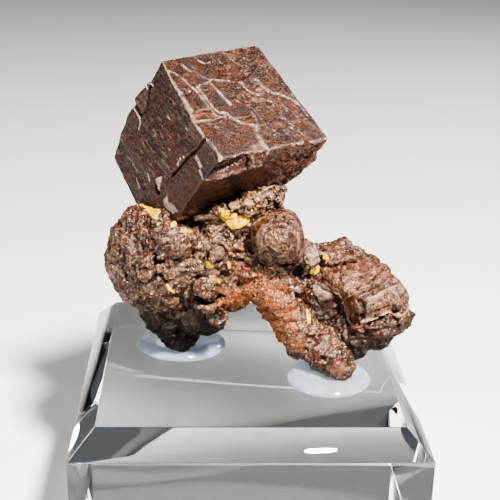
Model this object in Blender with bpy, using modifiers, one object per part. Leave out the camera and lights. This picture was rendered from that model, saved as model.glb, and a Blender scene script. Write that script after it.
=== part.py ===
"""A limonite pseudomorph after pyrite, held up on a clear bevelled block by two clear gel pads.

Run with: blender --background --python part.py
Units are metres, +Z is up, and the origin is the middle of the block's underside. The specimen is one
grown-together solid: a big tilted cube on a knobbly limonite matrix, with a rounded crystal in front of
the neck, a bridge that arches down to a foot, and a squat second cube at the right.
"""

import math

import bmesh
import bpy
import numpy as np
from mathutils import Euler, Matrix, Vector, noise

MM = 0.001

# The clear block
BLOCK_SIDE = 50.8 * MM
BLOCK_HEIGHT = 23.0 * MM
BLOCK_BEVEL = 3.55 * MM

# The big cube, in mm: edge lengths along its own X, Y and Z, where its middle is, and how it leans
CUBE_EDGES = (18.9, 18.9, 20.4)
CUBE_CENTRE = (-5.0, 3.5, 56.2)
CUBE_LEAN = (math.radians(35.05), math.radians(-0.34), math.radians(36.3))
CUBE_EDGE_RADIUS = 0.35
CUBE_GRID_STEPS = 52
CUBE_TRIANGLES = 3000
# How far growth pulled a corner out of square, in mm on the stand's axes
CUBE_CORNER_PULL = {
    (-1, -1, 1): (-0.4, 0.0, 0.0),
    (-1, 1, 1): (0.7, 0.0, 0.0),
    (1, -1, 1): (0.2, 0.0, 0.0),
    (1, 1, 1): (-0.4, 0.1, 0.3),
    (-1, 1, -1): (-0.1, -0.1, -0.3),
    (-1, -1, -1): (-2.0, 0.0, 0.0),
}
# The cube's lower right is broken off: a point of the break in mm, and the way that the break faces
BREAK_POINT = (8.0, 0.0, 53.2)
BREAK_FACING = (0.70, 0.10, -0.70)
BREAK_LUMP_SIZE = 2.4
BREAK_LUMP_HEIGHT = 0.8
# The part of the cube below this height is lost in the matrix
CUBE_FOOT_HEIGHT = 44.2

# Ridges on the cube's top face, in mm: along the front edge, then away from it
TOP_RIDGES = (
    ((0.0, 17.3), (1.0, 16.2), (2.1, 14.3), (3.0, 12.0), (3.2, 9.2)),
    ((3.5, 12.8), (3.7, 10.5), (4.0, 8.3), (5.3, 7.2), (6.2, 6.0), (7.2, 5.2), (9.2, 4.3)),
    ((3.2, 17.8), (3.8, 16.0), (5.2, 14.6), (6.4, 13.8)),
    ((3.9, 13.2), (5.4, 13.3), (7.4, 13.5), (9.2, 13.2), (13.0, 13.1), (16.2, 15.0)),
    ((5.9, 13.2), (6.4, 10.8), (6.9, 8.8)),
    ((5.3, 19.2), (6.3, 17.9), (7.5, 16.9)),
    ((0.0, 8.7), (1.0, 8.9), (2.3, 8.6), (3.3, 9.0)),
    ((0.0, 7.2), (1.2, 6.8), (2.4, 6.6), (4.8, 6.8)),
    ((9.2, 4.3), (10.5, 4.1), (12.5, 4.6)),
    ((14.2, 12.2), (14.8, 10.0), (16.6, 8.6), (18.0, 7.0), (18.2, 5.0)),
)
TOP_RIDGE_HEIGHT = 0.28
TOP_RIDGE_WIDTH = 0.42
# A broad band that runs down to the front edge, where a thin plate on the left part ends
TOP_BAND = ((8.2, 0.0), (8.1, 1.5), (8.3, 3.0), (9.0, 4.3))
TOP_BAND_HEIGHT = 0.3
TOP_BAND_WIDTH = 0.9
# A hollow lens beside the second ridge, as middle, half length and half width
LENS = ((8.0, 5.8), 1.7, 0.5)
LENS_DEPTH = 0.45
LENS_EDGE = 0.8
# The left face, in mm from the cube's front corner: along the top edge, then down
CRACK = ((3.8, 0.0), (4.0, 2.0), (4.6, 4.0), (4.9, 5.5), (5.1, 7.0), (5.5, 10.0))
CRACK_DEPTH = 0.7
CRACK_WIDTH = 0.42
# How wide the slope of a small step is
STEP_WIDTH = 0.5
# A strip along the left face's lower edge lies lower, behind a small step that starts this far along
STRIP_FROM = 16.4
STRIP_START = 5.0
STRIP_STEP = 0.35
# A thin plate stands out past the back of the left face, with two notches in its edge
PLATE_FROM = 17.6
PLATE_RISE = 0.5
PLATE_SPAN = (3.6, 14.0)
PLATE_FADE = 3.0
PLATE_BULGE = 1.0
PLATE_BULGE_FROM = 18.0
PLATE_NOTCHES = (4.4, 9.6)
PLATE_NOTCH_WIDTH = 0.5
PLATE_NOTCH_SHARE = 0.8
# Under the front edge a slab has come away and left a ledge, in mm along the edge, which hangs
# lower towards its left end
LEDGE_SPAN = (0.6, 8.1)
LEDGE_TOP = 0.5
LEDGE_DROP = 2.6
LEDGE_LOWER = 1.2
LEDGE_LOWER_MIDDLE = 4.5
LEDGE_LOWER_WIDTH = 4.0
LEDGE_RISE = 0.75

# The matrix: balls of limonite in mm, as (x, y, z, radius across, radius deep, radius high)
LEFT_MASS = (
    (-12.9, 0.0, 39.7, 8.7, 8.6, 8.5),
    (-15.8, 0.0, 44.6, 3.6, 4.6, 3.4),
    (-11.7, -4.4, 44.9, 4.3, 4.4, 4.0),
    (-12.0, 0.5, 33.2, 5.4, 5.8, 5.6),
    (-7.6, -0.8, 32.6, 4.6, 5.2, 4.8),
    (-10.8, 0.2, 28.2, 3.6, 3.6, 3.9),
    (-5.0, -4.6, 32.5, 1.7, 1.9, 1.7),
    (-6.7, -6.6, 37.8, 1.9, 1.8, 1.7),
    (-6.2, -5.6, 35.2, 2.1, 2.0, 1.2),
    (-13.2, -7.2, 41.6, 0.9, 0.9, 0.9),
    (-15.9, -6.6, 39.4, 1.3, 1.2, 1.3),
    (-16.0, -5.6, 45.4, 0.7, 0.7, 0.7),
)
MIDDLE_MASS = (
    (-5.4, -1.5, 41.2, 6.2, 6.2, 5.8),
    (-0.8, -1.2, 42.0, 5.2, 5.0, 4.8),
    (-5.0, -7.0, 43.3, 1.3, 1.3, 1.3),
    (-1.0, -1.2, 47.2, 4.8, 4.6, 4.8),
    (1.6, 0.0, 48.8, 3.2, 3.6, 3.8),
    (-4.6, -1.5, 46.0, 4.2, 3.8, 3.4),
    (3.4, -2.0, 43.4, 4.4, 4.2, 4.4),
    (7.4, -3.0, 41.2, 3.0, 3.4, 3.0),
    (9.1, -5.4, 42.1, 1.4, 1.3, 1.4),
    (7.4, -6.8, 37.4, 1.1, 1.1, 1.1),
)
BRIDGE = (
    (-2.6, -2.6, 37.2, 4.4, 4.0, 4.4),
    (0.6, -3.0, 36.6, 4.0, 3.8, 4.0),
    (3.4, -3.8, 34.8, 3.8, 3.6, 3.9),
    (5.8, -5.0, 32.3, 3.4, 3.4, 3.5),
    (8.2, -6.4, 29.9, 3.2, 3.2, 3.2),
    (10.8, -7.8, 28.1, 3.1, 3.0, 2.9),
    (12.6, -9.0, 27.2, 2.8, 2.6, 2.5),
    (13.9, -9.9, 26.4, 1.9, 1.9, 1.9),
)
RIGHT_MASS = (
    (13.5, -2.4, 41.2, 2.6, 2.6, 2.5),
    (17.4, -1.8, 39.6, 2.7, 2.8, 2.2),
    (11.4, -2.4, 37.6, 3.2, 3.0, 3.6),
    (10.8, -4.5, 33.0, 3.0, 3.0, 4.0),
    (15.4, -4.6, 30.0, 4.2, 4.2, 3.9),
    (18.8, -4.2, 31.0, 3.8, 4.0, 3.4),
    (21.8, -5.0, 32.2, 1.8, 2.0, 1.9),
    (21.3, 0.2, 36.4, 2.4, 2.6, 2.0),
    (19.4, 1.6, 38.2, 2.0, 2.2, 1.6),
)
BACK_MASS = (
    (-8.0, 5.2, 40.5, 7.4, 6.4, 6.2),
    (-1.5, 5.0, 43.0, 6.0, 5.6, 5.4),
    (4.8, 1.8, 38.6, 4.6, 4.6, 4.4),
    (8.0, -0.6, 36.6, 4.0, 4.2, 4.0),
    (12.5, 1.0, 35.4, 4.4, 4.2, 4.4),
)
BALL_DETAIL = 3
KNOB_DETAIL = 4

# The rounded crystal in front of the neck, in mm: its middle, its half sizes and how square it is
KNOB_CENTRE = (3.7, -5.7, 45.0)
KNOB_HALF_SIZES = (3.9, 3.9, 3.8)
KNOB_LEAN = (math.radians(20.0), math.radians(-6.0), math.radians(6.0))
KNOB_SQUARENESS = 3.2
# On its front a ring groove parts a round plate from the rim
KNOB_FRONT = (3.9, -9.4, 46.2)
KNOB_RING = 2.0
KNOB_GROOVE_DEPTH = 0.5
KNOB_GROOVE_WIDTH = 0.35
KNOB_GROOVE_WAY = (0.0, 0.94, -0.34)

# The squat cube, in mm: its middle and sizes, the way its top faces and the way its back edge runs
SQUAT_CENTRE = (17.3, -2.4, 33.4)
SQUAT_EDGES = (10.0, 10.0, 7.6)
SQUAT_UP = (0.13, -0.32, 0.94)
SQUAT_ALONG = (0.80, 0.59, 0.09)
# The pointed crystal that stands out at its lower right
SPUR_CENTRE = (22.9, -5.4, 31.6)
SPUR_EDGE = 3.0

# Hollows pressed into the matrix, in mm: where, how wide, how deep, and the way they are pressed
HOLLOWS = (
    ((12.6, -8.4, 34.0), 4.2, 1.9, (0.55, 0.80, 0.10)),
    ((17.2, -9.6, 33.4), 1.9, 1.3, (0.05, 0.95, -0.30)),
    ((7.2, -6.4, 39.2), 2.0, 2.0, (0.10, 0.95, -0.20)),
    ((-7.9, -7.4, 47.2), 1.7, 1.8, (0.10, 0.95, -0.20)),
    ((-5.0, -6.0, 47.6), 1.6, 1.5, (0.10, 0.95, -0.20)),
    ((-9.0, -8.2, 42.6), 1.6, 0.9, (0.10, 0.98, -0.10)),
    ((2.4, -4.2, 49.4), 1.6, 1.0, (-0.20, 0.95, -0.10)),
    ((-4.9, -6.4, 32.4), 0.9, 0.7, (0.0, 0.95, 0.20)),
    ((-3.0, -6.4, 40.0), 1.4, 0.7, (0.0, 0.98, 0.10)),
)

# How far from its middle a hollow reaches, as a share of its width
HOLLOW_REACH = 0.7

VOXEL = 0.38 * MM
WART_SIZE = 1.7
WART_HEIGHT = 0.5
# The warts are lower on the squat cube, whose faces stay flat
FLAT_REACH = 7.0
FLAT_SHARE = 0.3
FLAT_FADE = 2.0
MATRIX_TRIANGLES = 5600

# The gel pads, in mm: the middle, the radius and the height
PAD_LEFT = ((-10.4, 2.6), 7.0, 2.4)
PAD_RIGHT = ((12.1, -8.4), 6.2, 2.2)
PAD_STEPS = 36
PAD_RINGS = 5
PAD_FULLNESS = 0.55
MERGE = 0.01 * MM
GAP = 0.35
FOOT_TRIANGLES = 1500

LIMONITE = ((0.13, 0.055, 0.032), 0.42, 0.0)
ACRYLIC = ((0.93, 0.95, 0.96), 0.04, 0.0)
GEL = ((0.90, 0.93, 0.97), 0.12, 0.0)


def clear_scene():
    for obj in list(bpy.data.objects):
        bpy.data.objects.remove(obj)


def material(name, look):
    colour, roughness, metallic = look
    made = bpy.data.materials.new(name)
    made.use_nodes = True
    shader = made.node_tree.nodes["Principled BSDF"]
    shader.inputs["Base Color"].default_value = (*colour, 1.0)
    shader.inputs["Roughness"].default_value = roughness
    shader.inputs["Metallic"].default_value = metallic
    return made


def collection(name):
    made = bpy.data.collections.new(name)
    bpy.context.scene.collection.children.link(made)
    return made


def object_from(bm, name, where):
    """A new object that holds the bmesh, in the collection where."""
    mesh = bpy.data.meshes.new(name)
    bm.to_mesh(mesh)
    bm.free()
    obj = bpy.data.objects.new(name, mesh)
    where.objects.link(obj)
    return obj


def as_helper(obj):
    obj.hide_render = True
    obj.display_type = "WIRE"
    return obj


def settled(obj):
    """The object's mesh with its modifiers worked in."""
    mesh = bpy.data.meshes.new_from_object(obj.evaluated_get(bpy.context.evaluated_depsgraph_get()))
    obj.modifiers.clear()
    obj.data = mesh
    return mesh


def points_of(mesh):
    points = np.empty(len(mesh.vertices) * 3)
    mesh.vertices.foreach_get("co", points)
    return points.reshape(-1, 3)


def move_points(mesh, points):
    mesh.vertices.foreach_set("co", points.ravel())
    mesh.update()


def keep_outer_skin(mesh):
    """Drops the skins of small hollows shut in between the balls, and keeps the largest skin."""
    bm = bmesh.new()
    bm.from_mesh(mesh)
    waiting = set(bm.verts)
    skins = []
    while waiting:
        skin = set()
        edge_of_skin = [waiting.pop()]
        while edge_of_skin:
            vert = edge_of_skin.pop()
            skin.add(vert)
            near = {edge.other_vert(vert) for edge in vert.link_edges} & waiting
            waiting -= near
            edge_of_skin.extend(near)
        skins.append(skin)
    outer = max(skins, key=len)
    bmesh.ops.delete(bm, geom=[vert for vert in bm.verts if vert not in outer], context="VERTS")
    bm.to_mesh(mesh)
    bm.free()


def thin_out(obj, triangles):
    """Decimates to about so many triangles, which keeps edges and ridges and empties flat places."""
    fewer = obj.modifiers.new("fewer", "DECIMATE")
    now = sum(len(face.vertices) - 2 for face in obj.data.polygons)
    fewer.ratio = min(1.0, triangles / now)
    return settled(obj)


def distance_to_line(u, v, line):
    """How far each place (u, v) is from a line through the given points."""
    nearest = np.full(len(u), np.inf)
    for (u0, v0), (u1, v1) in zip(line, line[1:]):
        du, dv = u1 - u0, v1 - v0
        along = np.clip(((u - u0) * du + (v - v0) * dv) / (du * du + dv * dv), 0.0, 1.0)
        nearest = np.minimum(nearest, np.hypot(u - u0 - along * du, v - v0 - along * dv))
    return nearest


def bump(distance, width):
    """One on the line, falling smoothly to nothing at about twice the width."""
    return np.exp(-((distance / width) ** 2))


def step_up(value, start, over):
    """Nothing before start, one after it, in a short slope."""
    return np.clip((value - start) / over + 0.5, 0.0, 1.0)


def top_relief(u, v):
    height = np.zeros(len(u))
    for ridge in TOP_RIDGES:
        height = np.maximum(height, TOP_RIDGE_HEIGHT * bump(distance_to_line(u, v, ridge), TOP_RIDGE_WIDTH))
    height = np.maximum(height, TOP_BAND_HEIGHT * bump(distance_to_line(u, v, TOP_BAND), TOP_BAND_WIDTH))
    (middle_u, middle_v), half_length, half_width = LENS
    lens = np.hypot((u - middle_u) / half_length, (v - middle_v) / half_width)
    return height - LENS_DEPTH * bump(lens, LENS_EDGE)


def left_relief(along, down):
    """The crack, the lower strip and the standing plate of the left face."""
    height = -CRACK_DEPTH * bump(distance_to_line(along, down, CRACK), CRACK_WIDTH)
    height -= STRIP_STEP * step_up(down, STRIP_FROM, STEP_WIDTH) * step_up(along, STRIP_START, STEP_WIDTH)
    return height + PLATE_RISE * plate_share(along, down)


def plate_share(along, down):
    """Where the standing plate is, with its two notches left out."""
    share = step_up(down, PLATE_SPAN[0], STEP_WIDTH) * (1.0 - step_up(down, PLATE_SPAN[1], PLATE_FADE))
    for notch in PLATE_NOTCHES:
        share = share * (1.0 - PLATE_NOTCH_SHARE * bump(down - notch, PLATE_NOTCH_WIDTH))
    return share * step_up(along, PLATE_FROM, STEP_WIDTH)


def under_relief(along, down):
    """The broken ledge under the front edge, standing proud of the dark underside."""
    lower_edge = LEDGE_DROP + LEDGE_LOWER * (1.0 - step_up(along, LEDGE_LOWER_MIDDLE, LEDGE_LOWER_WIDTH))
    share = step_up(along, LEDGE_SPAN[0], STEP_WIDTH) * (1.0 - step_up(along, LEDGE_SPAN[1], STEP_WIDTH))
    share = share * step_up(down, LEDGE_TOP, STEP_WIDTH) * (1.0 - step_up(down, lower_edge, STEP_WIDTH))
    return LEDGE_RISE * share


def cube_crystal(where):
    """The big cube, worn at its edges, with its ridges, crack, plate and ledge, and its two cuts."""
    bm = bmesh.new()
    bmesh.ops.create_cube(bm, size=2.0)
    bmesh.ops.subdivide_edges(bm, edges=bm.edges[:], cuts=CUBE_GRID_STEPS - 1, use_grid_fill=True)
    obj = object_from(bm, "cube", where)
    unit = points_of(obj.data)
    half = np.array(CUBE_EDGES) / 2
    flat = unit * half
    inner = np.clip(flat, -(half - CUBE_EDGE_RADIUS), half - CUBE_EDGE_RADIUS)
    outward = flat - inner
    outward /= np.linalg.norm(outward, axis=1)[:, None]
    shaped = inner + outward * CUBE_EDGE_RADIUS
    right, back, down = flat[:, 0] + half[0], flat[:, 1] + half[1], half[2] - flat[:, 2]
    on_top, on_left, on_front = unit[:, 2] > 0.999, unit[:, 0] < -0.999, unit[:, 1] < -0.999
    shaped[:, 2] += np.where(on_top, top_relief(right, back), 0.0)
    shaped[:, 0] -= np.where(on_left, left_relief(back, down), 0.0)
    shaped[:, 1] -= np.where(on_front, under_relief(right, down), 0.0)
    at_plate = np.where(on_left, plate_share(back, down) * step_up(back, PLATE_BULGE_FROM, STEP_WIDTH), 0.0)
    shaped[:, 1] += PLATE_BULGE * at_plate
    turn = np.array(Euler(CUBE_LEAN).to_matrix())
    placed = shaped @ turn.T + np.array(CUBE_CENTRE)
    for corner, pull in CUBE_CORNER_PULL.items():
        nearness = np.prod((1.0 + unit * np.array(corner)) / 2, axis=1)
        placed += nearness[:, None] * np.array(pull)
    break_off(placed)
    move_points(obj.data, placed * MM)
    trim(obj, (0.0, 0.0, CUBE_FOOT_HEIGHT), (0.0, 0.0, -1.0))
    thin_out(obj, CUBE_TRIANGLES)
    return as_helper(obj)


def break_off(points):
    """Pushes what lies past the break back onto it, and leaves the break uneven."""
    facing = np.array(Vector(BREAK_FACING).normalized())
    past = (points - np.array(BREAK_POINT)) @ facing
    uneven = np.array([noise.noise(Vector(p / BREAK_LUMP_SIZE)) for p in points]) * BREAK_LUMP_HEIGHT
    points -= np.maximum(past - uneven, 0.0)[:, None] * facing


def trim(obj, point, facing):
    """Cuts off what lies past the plane through point, and closes the cut."""
    bm = bmesh.new()
    bm.from_mesh(obj.data)
    everything = bm.verts[:] + bm.edges[:] + bm.faces[:]
    middle, way = Vector(point) * MM, Vector(facing).normalized()
    cut = bmesh.ops.bisect_plane(bm, geom=everything, plane_co=middle, plane_no=way, clear_outer=True)
    rim = [part for part in cut["geom_cut"] if isinstance(part, bmesh.types.BMEdge)]
    bmesh.ops.contextual_create(bm, geom=rim)
    bm.to_mesh(obj.data)
    bm.free()


def add_ball(bm, x, y, z, across, deep, high):
    place = Matrix.Translation(Vector((x, y, z)) * MM)
    size = Matrix.Diagonal(Vector((across, deep, high)) * MM).to_4x4()
    bmesh.ops.create_icosphere(bm, subdivisions=BALL_DETAIL, radius=1.0, matrix=place @ size)


def add_knob(bm):
    """A ball pushed out towards a cube, so that |x|^n + |y|^n + |z|^n = 1."""
    made = bmesh.ops.create_icosphere(bm, subdivisions=KNOB_DETAIL, radius=1.0)["verts"]
    place = Matrix.Translation(Vector(KNOB_CENTRE)) @ Euler(KNOB_LEAN).to_matrix().to_4x4()
    for vert in made:
        reach = sum(abs(c) ** KNOB_SQUARENESS for c in vert.co)
        vert.co /= reach ** (1.0 / KNOB_SQUARENESS)
        vert.co = place @ Vector(c * h for c, h in zip(vert.co, KNOB_HALF_SIZES)) * MM


def add_squat_cubes(bm):
    """The squat cube and the pointed crystal beside it, which lies the same way."""
    up = Vector(SQUAT_UP).normalized()
    along = Vector(SQUAT_ALONG)
    along = (along - up * along.dot(up)).normalized()
    turn = Matrix((along, up.cross(along), up)).transposed().to_4x4()
    for centre, edges in ((SQUAT_CENTRE, SQUAT_EDGES), (SPUR_CENTRE, (SPUR_EDGE,) * 3)):
        place = Matrix.Translation(Vector(centre) * MM) @ turn @ Matrix.Diagonal(Vector(edges) * MM).to_4x4()
        bmesh.ops.create_cube(bm, size=1.0, matrix=place)


def press_hollows(points):
    for centre, width, depth, way in HOLLOWS:
        nearness = bump(np.linalg.norm(points - np.array(centre), axis=1), width * HOLLOW_REACH)
        points += (depth * nearness)[:, None] * np.array(Vector(way).normalized())


def cut_ring_groove(points):
    """The ring groove on the rounded crystal's front, pressed straight back."""
    away = np.linalg.norm(points - np.array(KNOB_FRONT), axis=1)
    groove = bump(away - KNOB_RING, KNOB_GROOVE_WIDTH)
    points += (KNOB_GROOVE_DEPTH * groove)[:, None] * np.array(KNOB_GROOVE_WAY)


def roughen(points, normals):
    """Warts all over the matrix, from smooth noise of a fixed pattern, and few on the squat cube."""
    warts = np.array([noise.noise(Vector(p / WART_SIZE)) for p in points])
    from_squat = np.linalg.norm(points - np.array(SQUAT_CENTRE), axis=1)
    share = FLAT_SHARE + (1.0 - FLAT_SHARE) * step_up(from_squat, FLAT_REACH, FLAT_FADE)
    points += normals * (warts * share * WART_HEIGHT)[:, None]


def matrix_mass(where):
    """The balls, the knob and the squat cubes, run together into one skin, then shaped."""
    bm = bmesh.new()
    for ball in LEFT_MASS + MIDDLE_MASS + BRIDGE + RIGHT_MASS + BACK_MASS:
        add_ball(bm, *ball)
    add_knob(bm)
    add_squat_cubes(bm)
    obj = object_from(bm, "specimen", where)
    skin = obj.modifiers.new("one_skin", "REMESH")
    skin.mode = "VOXEL"
    skin.voxel_size = VOXEL
    ease = obj.modifiers.new("ease", "SMOOTH")
    ease.iterations = 2
    mesh = settled(obj)
    keep_outer_skin(mesh)
    points = points_of(mesh) / MM
    normals = np.empty(len(mesh.vertices) * 3)
    mesh.vertices.foreach_get("normal", normals)
    roughen(points, normals.reshape(-1, 3))
    press_hollows(points)
    cut_ring_groove(points)
    move_points(mesh, points * MM)
    thin_out(obj, MATRIX_TRIANGLES)
    return obj


def specimen(where, helpers):
    obj = matrix_mass(where)
    grown = obj.modifiers.new("grown_together", "BOOLEAN")
    grown.operation = "UNION"
    grown.object = cube_crystal(helpers)
    obj.data.materials.append(material("limonite", LIMONITE))
    return obj


def acrylic_block(where):
    """A square block with its top edges planed off at 45 degrees."""
    bm = bmesh.new()
    bmesh.ops.create_cube(bm, size=1.0)
    size = Matrix.Diagonal((BLOCK_SIDE, BLOCK_SIDE, BLOCK_HEIGHT, 1.0))
    bm.transform(Matrix.Translation((0.0, 0.0, BLOCK_HEIGHT / 2)) @ size)
    rim = [edge for edge in bm.edges if all(vert.co.z > BLOCK_HEIGHT / 2 for vert in edge.verts)]
    bmesh.ops.bevel(bm, geom=rim, offset=BLOCK_BEVEL, segments=1, affect="EDGES")
    obj = object_from(bm, "acrylic_base", where)
    obj.data.materials.append(material("acrylic", ACRYLIC))
    return obj


def foot_cutter(name, balls, where):
    """The foot, a little larger than it is, to press its socket into a pad."""
    bm = bmesh.new()
    wider = GAP + WART_HEIGHT
    for x, y, z, across, deep, high in balls:
        add_ball(bm, x, y, z, across + wider, deep + wider, high + wider)
    obj = object_from(bm, name, where)
    skin = obj.modifiers.new("one_skin", "REMESH")
    skin.mode = "VOXEL"
    skin.voxel_size = VOXEL
    settled(obj)
    thin_out(obj, FOOT_TRIANGLES)
    return as_helper(obj)


def gel_pad(name, pad, feet, where, helpers):
    """A pressed drop of gel: a turned, domed disc with the foot's socket in it."""
    (x, y), radius, height = pad
    rises = [math.pi / 2 * ring / PAD_RINGS for ring in range(PAD_RINGS - 1, -1, -1)]
    outline = [(0.0, height)]
    outline += [(radius * math.cos(rise) ** PAD_FULLNESS, height * math.sin(rise)) for rise in rises]
    outline.append((0.0, 0.0))
    bm = bmesh.new()
    verts = [bm.verts.new((out * MM, 0.0, up * MM)) for out, up in outline]
    for above, below in zip(verts, verts[1:]):
        bm.edges.new((above, below))
    obj = object_from(bm, name, where)
    obj.location = (x * MM, y * MM, BLOCK_HEIGHT + GAP * MM)
    turned = obj.modifiers.new("turned", "SCREW")
    turned.steps = PAD_STEPS
    turned.render_steps = PAD_STEPS
    turned.use_merge_vertices = True
    turned.merge_threshold = MERGE
    socket = obj.modifiers.new("socket", "BOOLEAN")
    socket.operation = "DIFFERENCE"
    socket.object = foot_cutter(name + "_foot", feet, helpers)
    obj.data.materials.append(material(name, GEL))
    return obj


def main():
    clear_scene()
    shown = collection("limonite_specimen")
    helpers = collection("helpers")
    helpers.hide_render = True
    specimen(shown, helpers)
    acrylic_block(shown)
    gel_pad("gel_pad_left", PAD_LEFT, LEFT_MASS, shown, helpers)
    gel_pad("gel_pad_right", PAD_RIGHT, BRIDGE + RIGHT_MASS, shown, helpers)


main()
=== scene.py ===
"""Dresses the limonite specimen: the worn cube, the knobbly matrix, the clear block and its gel pads.

Sizes are millimetres, and turn into metres where a mesh is written. A place that was read from the
photograph is given in its 500 x 500 frame, and marks the skin that the camera sees there.
"""

import logging
import math
from collections.abc import Iterator
from contextlib import contextmanager
from dataclasses import dataclass, field
from enum import Enum

import bpy
import numpy as np
from mathutils import Euler, Matrix, Vector


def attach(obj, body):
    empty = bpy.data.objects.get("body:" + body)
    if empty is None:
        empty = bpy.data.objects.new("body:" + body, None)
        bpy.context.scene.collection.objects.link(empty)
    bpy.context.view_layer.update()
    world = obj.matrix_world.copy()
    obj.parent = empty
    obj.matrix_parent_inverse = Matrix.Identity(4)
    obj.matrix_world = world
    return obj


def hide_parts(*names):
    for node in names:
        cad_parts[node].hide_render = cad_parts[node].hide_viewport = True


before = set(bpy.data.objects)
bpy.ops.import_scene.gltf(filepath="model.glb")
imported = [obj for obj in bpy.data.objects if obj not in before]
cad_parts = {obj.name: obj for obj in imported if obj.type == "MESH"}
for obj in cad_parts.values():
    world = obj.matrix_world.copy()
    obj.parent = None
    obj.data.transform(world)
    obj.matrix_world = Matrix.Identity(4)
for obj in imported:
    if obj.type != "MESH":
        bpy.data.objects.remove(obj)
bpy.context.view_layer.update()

MM = 0.001
LOG = logging.getLogger("limonite")
Array = np.ndarray
Piece = bpy.types.Object
Socket = bpy.types.NodeSocket
Triple = tuple[float, float, float]


# Noise and soft steps

def chance(cells: Array, seed: int) -> Array:
    """Gives each whole-numbered cell its own fixed value.

    Args:
        cells: Cell numbers, one row of three for each point.
        seed: Picks another set of values.

    Returns:
        Values from 0 to 1.
    """
    x, y, z = (cells[:, axis].astype(np.int64) for axis in range(3))
    mixed = (x * 73856093) ^ (y * 19349663) ^ (z * 83492791) ^ (seed * 40503177)
    mixed = ((mixed ^ (mixed >> 13)) * 1274126177) & 0xFFFFFFFF
    mixed ^= mixed >> 16
    mixed = (mixed * 668265263) & 0xFFFFFFFF
    return ((mixed >> 7) & 0xFFFFFF) / float(0xFFFFFF)


def smooth_noise(points: Array, size: float, seed: int) -> Array:
    """Smooth noise with features of about the given size.

    Args:
        points: Places in millimetres.
        size: Feature size in millimetres.
        seed: Picks another pattern.

    Returns:
        Values from -1 to 1.
    """
    scaled = points / size + seed * 17.31
    cell = np.floor(scaled)
    part = scaled - cell
    ease = part * part * (3.0 - 2.0 * part)
    total = np.zeros(len(points))
    for corner in range(8):
        step = np.array([(corner >> axis) & 1 for axis in range(3)])
        share = np.prod(np.where(step == 1, ease, 1.0 - ease), axis=1)
        total += share * chance(cell + step, seed)
    return total * 2.0 - 1.0


def rough_noise(points: Array, size: float, layers: int, seed: int) -> Array:
    """Several layers of smooth noise, each half the size and height of the last.

    Args:
        points: Places in millimetres.
        size: Size of the largest features.
        layers: How many layers.
        seed: Picks another pattern.

    Returns:
        Values from about -1 to 1.
    """
    total = np.zeros(len(points))
    for layer in range(layers):
        total += smooth_noise(points, size / 2 ** layer, seed + layer * 7) / 2 ** layer
    return total / 1.6


def crests(points: Array, size: float, seed: int, steepness: float = 2.4) -> Array:
    """Winding crests: one along a crest, falling below zero beside it."""
    return 1.0 - steepness * np.abs(smooth_noise(points, size, seed))


def drift(points: Array, size: float, seed: int, axes: int = 3) -> Array:
    """A wandering shift of each point, with its own noise for each axis."""
    return np.stack([smooth_noise(points, size, seed + axis) for axis in range(axes)], axis=1)


# A bead's smallest and largest radius, as a share of the beads' spacing
BEAD_RADII = (0.35, 0.75)


def beads(points: Array, size: float, seed: int) -> tuple[Array, Array]:
    """A crowd of balls of mixed sizes, as they grow on limonite.

    Args:
        points: Places in millimetres.
        size: Spacing of the balls.
        seed: Picks another crowd.

    Returns:
        How far each place is covered by its ball, as a share of the spacing, and that ball's own value
        from 0 to 1.
    """
    low, high = BEAD_RADII
    scaled = points / size
    cell = np.floor(scaled)
    height = np.zeros(len(points))
    tint = np.zeros(len(points))
    for number in range(27):
        near = cell + np.array([number % 3 - 1, number // 3 % 3 - 1, number // 9 - 1])
        middle = near + np.stack([chance(near, seed + axis) for axis in range(3)], axis=1)
        radius = low + (high - low) * chance(near, seed + 3) ** 2
        reach = radius ** 2 - np.sum((scaled - middle) ** 2, axis=1)
        rise = np.sqrt(np.maximum(reach, 0.0))
        higher = rise > height
        height = np.where(higher, rise, height)
        tint = np.where(higher, chance(near, seed + 4), tint)
    return height, tint


def ramp(value: Array, start: float, end: float) -> Array:
    """Goes smoothly from 0 at start to 1 at end."""
    share = np.clip((value - start) / (end - start), 0.0, 1.0)
    return share * share * (3.0 - 2.0 * share)


def hill(distance: Array, width: float) -> Array:
    """One at no distance, falling smoothly to nothing at about twice the width."""
    return np.exp(-((distance / width) ** 2))


def one_long(way: Triple) -> Array:
    """A direction with a length of one."""
    return np.array(Vector(way).normalized())


def off_line(places: Array, line: tuple) -> Array:
    """How far each flat place is from a line through the given points.

    Args:
        places: Flat places, one row of two each.
        line: The line's points in order.

    Returns:
        Distances.
    """
    nearest = np.full(len(places), np.inf)
    for start, end in zip(line, line[1:]):
        start, run = np.array(start), np.array(end) - np.array(start)
        along = np.clip((places - start) @ run / (run @ run), 0.0, 1.0)
        nearest = np.minimum(nearest, np.linalg.norm(places - start - along[:, None] * run, axis=1))
    return nearest


# The camera's view

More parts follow.
